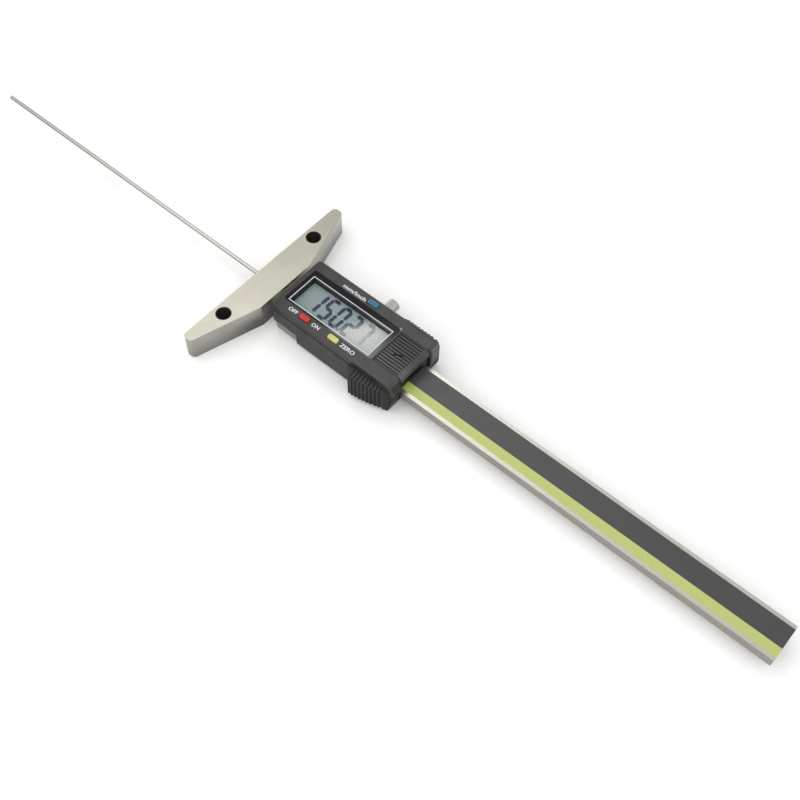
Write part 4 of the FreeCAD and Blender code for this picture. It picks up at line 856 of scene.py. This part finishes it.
def segment_bar(tree, source, long):
    """A segment: a flat bar with pointed ends, made from a six sided plate."""
    blank = add_node(tree, "GeometryNodeMeshCylinder",
                     {"Vertices": 6, "Radius": 1.0, "Depth": source["Print Thickness"]},
                     fill_type="NGON")
    x, y, z = split_vector(tree, add_node(tree, "GeometryNodeInputPosition").outputs[0])
    half_width = Value(tree, source["Segment Width"]) / 2.0
    side = y.apply("ROUND")
    point = Value(tree, long) / 2.0 - abs(side) * half_width
    moved = add_node(tree, "ShaderNodeCombineXYZ",
                     {"X": x.apply("SIGN") * point, "Y": side * half_width, "Z": z})
    return add_node(tree, "GeometryNodeSetPosition",
                    {"Geometry": blank.outputs["Mesh"], "Position": moved.outputs[0]}).outputs[0]


def segment_tree():
    """Puts a bar on every point of the seed, upright where the point says so, and leans them."""
    tree, source, end = new_tree("seven_segment_digits", {
        "Upright Length": "Float", "Level Length": "Float", "Segment Width": "Float",
        "Print Thickness": "Float", "Lean": "Float", "Digit Middle": "Float", "Finish": "Material"})
    upright = add_node(tree, "GeometryNodeInputNamedAttribute", {"Name": "upright"},
                       data_type="BOOLEAN")
    level = add_node(tree, "FunctionNodeBooleanMath", {0: upright.outputs[0]}, operation="NOT")
    joined = add_node(tree, "GeometryNodeJoinGeometry")
    for name, chosen, turn in (("Upright Length", upright, math.pi / 2), ("Level Length", level, 0.0)):
        placed = add_node(tree, "GeometryNodeInstanceOnPoints", {
            "Points": source["Geometry"], "Selection": chosen.outputs[0],
            "Instance": segment_bar(tree, source, source[name]), "Rotation": (0, 0, turn)})
        tree.links.new(placed.outputs[0], joined.inputs[0])
    real = add_node(tree, "GeometryNodeRealizeInstances", {"Geometry": joined.outputs[0]}).outputs[0]
    y = split_vector(tree, add_node(tree, "GeometryNodeInputPosition").outputs[0])[1]
    lean = add_node(tree, "ShaderNodeCombineXYZ", {"X": (y - source["Digit Middle"]) * source["Lean"]})
    leant = add_node(tree, "GeometryNodeSetPosition", {"Geometry": real, "Offset": lean.outputs[0]})
    end_tree(tree, leant.outputs[0], source["Finish"], end)
    return tree


def rib_tree():
    """Round ribs side by side about an axis along y, for a knurled head."""
    tree, source, end = new_tree("knurl_ribs", {
        "Rib Count": "Int", "Rib Radius": "Float", "Root Radius": "Float", "Length": "Float",
        "Middle": "Vector", "Finish": "Material"})
    circle = add_node(tree, "GeometryNodeMeshCircle",
                      {"Vertices": source["Rib Count"], "Radius": source["Root Radius"]}).outputs[0]
    rib = add_node(tree, "GeometryNodeMeshCylinder",
                   {"Vertices": 10, "Radius": source["Rib Radius"], "Depth": source["Length"]},
                   fill_type="NGON").outputs["Mesh"]
    ribs = add_node(tree, "GeometryNodeInstanceOnPoints", {"Points": circle, "Instance": rib})
    placed = add_node(tree, "GeometryNodeTransform", {
        "Geometry": ribs.outputs[0], "Rotation": (math.pi / 2, 0, 0), "Translation": source["Middle"]})
    end_tree(tree, placed.outputs[0], source["Finish"], end)
    return tree


def row_tree():
    """Copies of the seed mesh in a row."""
    tree, source, end = new_tree("rib_row", {"Count": "Int", "Pitch": "Vector", "Finish": "Material"})
    line = add_node(tree, "GeometryNodeMeshLine", {"Count": source["Count"], "Offset": source["Pitch"]})
    ribs = add_node(tree, "GeometryNodeInstanceOnPoints",
                    {"Points": line.outputs[0], "Instance": source["Geometry"]})
    end_tree(tree, ribs.outputs[0], source["Finish"], end)
    return tree


def fin(work, tip, root, low, high, slope):
    """A rib like a fin: steep behind its tip, gentle ahead, its top falling from root to tip."""
    x, y = tip
    ahead_and_behind = ((-1.38, root), (-1.30, root + 0.45 * MM), (-0.22, y - 0.05 * MM), (0, y),
                        (0.14, y - 0.12 * MM), (0.30, root + 0.45 * MM), (0.34, root))
    outline = [(x + shift * MM, side) for shift, side in ahead_and_behind]
    below = [work.verts.new((px, py, low)) for px, py in outline]
    above = [work.verts.new((px, py, high - slope * (py - root))) for px, py in outline]
    work.faces.new(below)
    work.faces.new(above)
    join_loops(work, below, above)


def reading_seed(sizes, shift=0.0):
    """Points where the segments of the reading go, each marked upright or not."""
    points, marks = [], []
    top = LCD_HIGH.z + sizes.print_thick
    digits = [character for character in sizes.reading if character in SEGMENTS_ON]
    for number, digit in enumerate(digits):
        middle = sizes.digit_first + number * sizes.digit_pitch
        for name in SEGMENTS_ON[digit].split():
            right, above, upright = SEGMENT_PLACES[name]
            points.append((middle + right * sizes.digit_wide / 2 + shift,
                           sizes.digit_middle + above * sizes.digit_high / 2 - shift, top))
            marks.append(upright)
    mesh = bpy.data.meshes.new("reading_seed")
    mesh.from_pydata(points, [], [])
    mesh.attributes.new("upright", "BOOLEAN", "POINT").data.foreach_set("value", marks)
    return mesh


# ----------------------------------------------------------
# Operators

class GAUGE_OT_finishes(bpy.types.Operator):
    """Makes the finishes of the whole gauge"""

    bl_idname = "gauge.finishes"
    bl_label = "Make finishes"

    def execute(self, context):
        FINISHES.update(make_finishes(context.scene.gauge_colours))
        return {"FINISHED"}


class GAUGE_OT_metal(bpy.types.Operator):
    """Gives the base, beam, rod, slide frame and screws their ground and plated metal"""

    bl_idname = "gauge.metal"
    bl_label = "Finish metal pieces"

    def execute(self, context):
        coat("ground_steel", "satin_steel", "bright_steel", "screw_steel", "black_screw", "frame_metal",
             "brass")
        return {"FINISHED"}


class GAUGE_OT_scale(bpy.types.Operator):
    """Prints the scale's green and dark bands on the beam"""

    bl_idname = "gauge.scale"
    bl_label = "Print scale"

    def execute(self, context):
        coat("printed_film", "scale_laminate")
        return {"FINISHED"}


class GAUGE_OT_housing(bpy.types.Operator):
    """Gives the housing, battery door, bezel and buttons their moulded plastic"""

    bl_idname = "gauge.housing"
    bl_label = "Finish housing"

    def execute(self, context):
        coat("black_plastic", "bezel_plastic", "button_red", "button_yellow", "button_blue")
        for node in ("battery_door", "grip_housing", "top_cover"):
            give_finish(NODES[node], FINISHES[node])
        return {"FINISHED"}


class GAUGE_OT_lock_side_ribs(bpy.types.Operator):
    """Adds the row of fin-shaped ribs above the lock side grip"""

    bl_idname = "gauge.lock_side_ribs"
    bl_label = "Make lock side ribs"

    def execute(self, context):
        sizes = context.scene.gauge_sizes
        finish = FINISHES["grip_housing"]
        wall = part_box("top_cover")[1].y
        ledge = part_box("grip_housing")[1].z
        tip = (sizes.fin_first, wall + sizes.fin_out)
        seed = solid_mesh("fin_seed", lambda work: fin(
            work, tip, wall - 0.25 * MM, ledge + 0.02 * MM, ledge + 4.0 * MM, slope=0.95))
        mesh = grow("lock_side_ribs", seed, row_tree(), {
            "Count": sizes.fin_count, "Pitch": (sizes.fin_pitch, 0, 0), "Finish": finish.material})
        new_piece("lock_side_ribs", mesh, finish, "slider")
        return {"FINISHED"}


class GAUGE_OT_inside(bpy.types.Operator):
    """Finishes what is inside the housing: board, chip, switches, connector, cell and contacts"""

    bl_idname = "gauge.inside"
    bl_label = "Finish inside pieces"

    def execute(self, context):
        coat("circuit_laminate", "chip_resin", "switch_plastic", "zebra_rubber", "cell_steel",
             "contact_metal")
        return {"FINISHED"}


class GAUGE_OT_window(bpy.types.Operator):
    """Makes the clear window over the display, with rounded edges, and the gasket under it"""

    bl_idname = "gauge.window"
    bl_label = "Make window"

    def execute(self, context):
        low = WINDOW_LOW.copy()
        low.z = max(low.z, LCD_HIGH.z + 0.08 * MM)
        mesh = solid_mesh("window", lambda work: plate(work, low, WINDOW_HIGH, 0.12 * MM))
        window = new_piece("window", mesh, FINISHES["clear_window"], "slider")
        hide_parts("display_window")
        gap = 0.02 * MM
        outer = widened(CLEAR_OPENING, 0.5 * MM)
        mesh = solid_mesh("display_gasket", lambda work: ring_frame(
            work, outer, CLEAR_OPENING, LCD_HIGH.z + gap, WINDOW_LOW.z - gap))
        new_piece("display_gasket", mesh, FINISHES["gasket"], "slider")
        return {"FINISHED"}


class GAUGE_OT_reading(bpy.types.Operator):
    """Shows the reading on the display in seven-segment digits, with their faint shadow"""

    bl_idname = "gauge.reading"
    bl_label = "Show reading"

    def execute(self, context):
        sizes, colours = context.scene.gauge_sizes, context.scene.gauge_colours
        if "." not in sizes.reading:
            raise RuntimeError("the reading needs a point")
        coat("lcd_glass")
        tree = segment_tree()
        gap = 0.18 * MM
        for name, finish, shift, thick in (
                ("digits", digit_ink(colours), 0.0, sizes.print_thick),
                ("digit_shadow", digit_shade(colours), sizes.shadow_shift, sizes.print_thick / 2)):
            mesh = grow(name, reading_seed(sizes, shift), tree, {
                "Upright Length": sizes.digit_high / 2 - gap, "Level Length": sizes.digit_wide - gap,
                "Segment Width": sizes.digit_thick, "Print Thickness": thick, "Lean": sizes.digit_lean,
                "Digit Middle": sizes.digit_middle, "Finish": finish.material})
            new_piece(name, mesh, finish, "slider")
        self.add_point(sizes, digit_ink(colours))
        return {"FINISHED"}

    def add_point(self, sizes, finish):
        """The decimal point, between two digits."""
        before = sizes.reading.index(".")
        x = sizes.digit_first + (before - 0.5) * sizes.digit_pitch
        y = sizes.digit_middle - sizes.digit_high / 2
        half = sizes.digit_thick * 0.42
        low = Vector((x - half, y - half, LCD_HIGH.z))
        high = Vector((x + half, y + half, LCD_HIGH.z + sizes.print_thick * 1.5))
        mesh = solid_mesh("decimal_point", lambda work: plate(work, low, high, sizes.print_thick * 0.4))
        new_piece("decimal_point", mesh, finish, "slider")


class GAUGE_OT_print(bpy.types.Operator):
    """Prints the white line round the display and the words beside the buttons"""

    bl_idname = "gauge.print"
    bl_label = "Print line and words"

    def execute(self, context):
        sizes = context.scene.gauge_sizes
        thick = sizes.print_thick
        finish = white_print(context.scene.gauge_colours)
        outer = widened(CLEAR_OPENING, sizes.line_wide)
        mesh = solid_mesh("display_line", lambda work: ring_frame(
            work, outer, CLEAR_OPENING, BEZEL_TOP - thick / 2, BEZEL_TOP + thick / 2))
        new_piece("display_line", mesh, finish, "slider")
        for name, (words, limits) in COVER_WORDS.items():
            mesh = word_mesh(name, words, [value * MM for value in limits], COVER_TOP - thick / 2,
                             thick, sizes.word_weight)
            new_piece(name, mesh, finish, "slider")
        return {"FINISHED"}


class GAUGE_OT_lock_screw(bpy.types.Operator):
    """Makes the lock screw: a turned body and a knurl of ribs round its head"""

    bl_idname = "gauge.lock_screw"
    bl_label = "Make lock screw"

    def execute(self, context):
        sizes = context.scene.gauge_sizes
        finish = FINISHES["knurled_steel"]
        middle = (SCREW_LOW + SCREW_HIGH) / 2
        radius = (SCREW_HIGH.x - SCREW_LOW.x) / 2
        root = radius - sizes.rib_radius
        tip, end = SCREW_LOW.y, SCREW_HIGH.y
        head = end - HEAD_LONG
        collar = head - COLLAR_LONG
        profile = (
            (tip, TIP_RADIUS), (tip + 0.3 * MM, SHANK_RADIUS), (collar, SHANK_RADIUS),
            (collar, COLLAR_RADIUS), (head, COLLAR_RADIUS),
            (head, root), (head + 0.25 * MM, radius - 0.1 * MM), (head + 0.45 * MM, root),
            (end - 0.5 * MM, root), (end - 0.3 * MM, radius - 0.12 * MM), (end, radius - 0.42 * MM),
            (end, DIMPLE_RADIUS), (end - DIMPLE_DEEP, DIMPLE_RADIUS - 0.3 * MM))
        mesh = solid_mesh("lock_screw_body", lambda work: turned(work, profile, middle))
        mesh.shade_smooth()
        mesh.set_sharp_from_angle(angle=math.radians(35))
        body = new_piece("lock_screw_body", mesh, finish, "lock_screw")
        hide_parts("lock_screw")
        low, high = head + 0.3 * MM, end - 0.35 * MM
        ribs = grow("lock_screw_ribs", bpy.data.meshes.new("rib_seed"), rib_tree(), {
            "Rib Count": sizes.rib_count, "Rib Radius": sizes.rib_radius, "Root Radius": root,
            "Length": high - low, "Middle": (middle.x, (low + high) / 2, middle.z),
            "Finish": finish.material})
        new_piece("lock_screw_ribs", ribs, finish, "lock_screw")
        return {"FINISHED"}


class GAUGE_OT_stage(bpy.types.Operator):
    """Sets up the pale floor, the soft lights and the camera"""

    bl_idname = "gauge.stage"
    bl_label = "Set up studio"

    def execute(self, context):
        scene = context.scene
        self.add_floor()
        self.add_world(scene)
        for name, (place, size, power) in SOFTBOXES.items():
            self.add_softbox(name, Vector(place), size, power)
        self.add_camera(scene)
        scene.view_settings.view_transform = "Standard"
        return {"FINISHED"}

    def add_floor(self):
        """A plain pale sheet just under the gauge."""
        level = FRAME_BOUNDS[0][2]
        low = Vector((-FLOOR_HALF, -FLOOR_HALF, level - FLOOR_THICK))
        high = Vector((FLOOR_HALF, FLOOR_HALF, level - 0.1 * MM))
        floor = new_object("floor", solid_mesh("floor", lambda work: plate(work, low, high, 5 * MM)))
        finish = Finish("floor_paper", FLOOR_COLOUR, 0.0, 0.9)
        finish.paint(finish.patchy(0.005, 8))
        finish.set("Specular IOR Level", 0.1)
        give_finish(floor, finish)

    def add_world(self, scene):
        """Soft white surroundings, brightest on the low side, darker behind the lock screw and low."""
        scene.world = bpy.data.worlds.new("studio")
        scene.world.use_nodes = True
        tree = scene.world.node_tree
        back = tree.nodes["Background"]
        _, y, z = split_vector(tree, add_node(tree, "ShaderNodeTexCoord").outputs["Generated"])
        feed(tree, y.ramp(0.1, 0.6, 1.35, 0.62) * z.ramp(-0.1, 0.6, 0.6, 1.0), back.inputs["Strength"])
        feed(tree, (1.0, 0.998, 0.99, 1), back.inputs["Color"])

    def add_softbox(self, name, place, size, power):
        """A square soft light that faces the gauge."""
        light = bpy.data.lights.new(name, "AREA")
        light.size = size
        light.energy = power
        turn = (LIGHTS_FACE - place).to_track_quat("-Z", "Y").to_matrix().to_4x4()
        new_object(name, light).matrix_world = Matrix.Translation(place) @ turn

    def add_camera(self, scene):
        """The view of the whole gauge from above its far right side."""
        lens = bpy.data.cameras.new("camera")
        lens.lens = CAMERA_LENS
        lens.sensor_width = 36
        lens.clip_start = 0.01
        scene.camera = new_object("camera", lens)
        scene.camera.location = CAMERA_PLACE
        scene.camera.rotation_euler = CAMERA_TURN


class GAUGE_PT_panel(bpy.types.Panel):
    """Sizes, colours and the steps that dress the gauge"""

    bl_idname = "GAUGE_PT_panel"
    bl_label = "Depth gauge"
    bl_space_type = "VIEW_3D"
    bl_region_type = "UI"
    bl_category = "Depth gauge"

    def draw(self, context):
        for group in (context.scene.gauge_sizes, context.scene.gauge_colours):
            box = self.layout.box()
            for name in group.__annotations__:
                box.prop(group, name)
        for step in STEPS:
            self.layout.operator(step.bl_idname)


STEPS = (
    GAUGE_OT_finishes, GAUGE_OT_metal, GAUGE_OT_scale, GAUGE_OT_housing, GAUGE_OT_lock_side_ribs,
    GAUGE_OT_inside, GAUGE_OT_window, GAUGE_OT_reading, GAUGE_OT_print, GAUGE_OT_lock_screw,
    GAUGE_OT_stage)
CLASSES = (GaugeSizes, GaugeColours, *STEPS, GAUGE_PT_panel)


def register():
    """Registers the add-on's classes and settings."""
    for item in CLASSES:
        bpy.utils.register_class(item)
    bpy.types.Scene.gauge_sizes = bpy.props.PointerProperty(type=GaugeSizes)
    bpy.types.Scene.gauge_colours = bpy.props.PointerProperty(type=GaugeColours)


def unregister():
    """Removes the add-on's classes and settings."""
    del bpy.types.Scene.gauge_colours
    del bpy.types.Scene.gauge_sizes
    for item in reversed(CLASSES):
        bpy.utils.unregister_class(item)


def main():
    """Dresses the gauge step by step."""
    register()
    for step in STEPS:
        group, name = step.bl_idname.split(".")
        getattr(getattr(bpy.ops, group), name)()


if __name__ == "__main__":
    main()
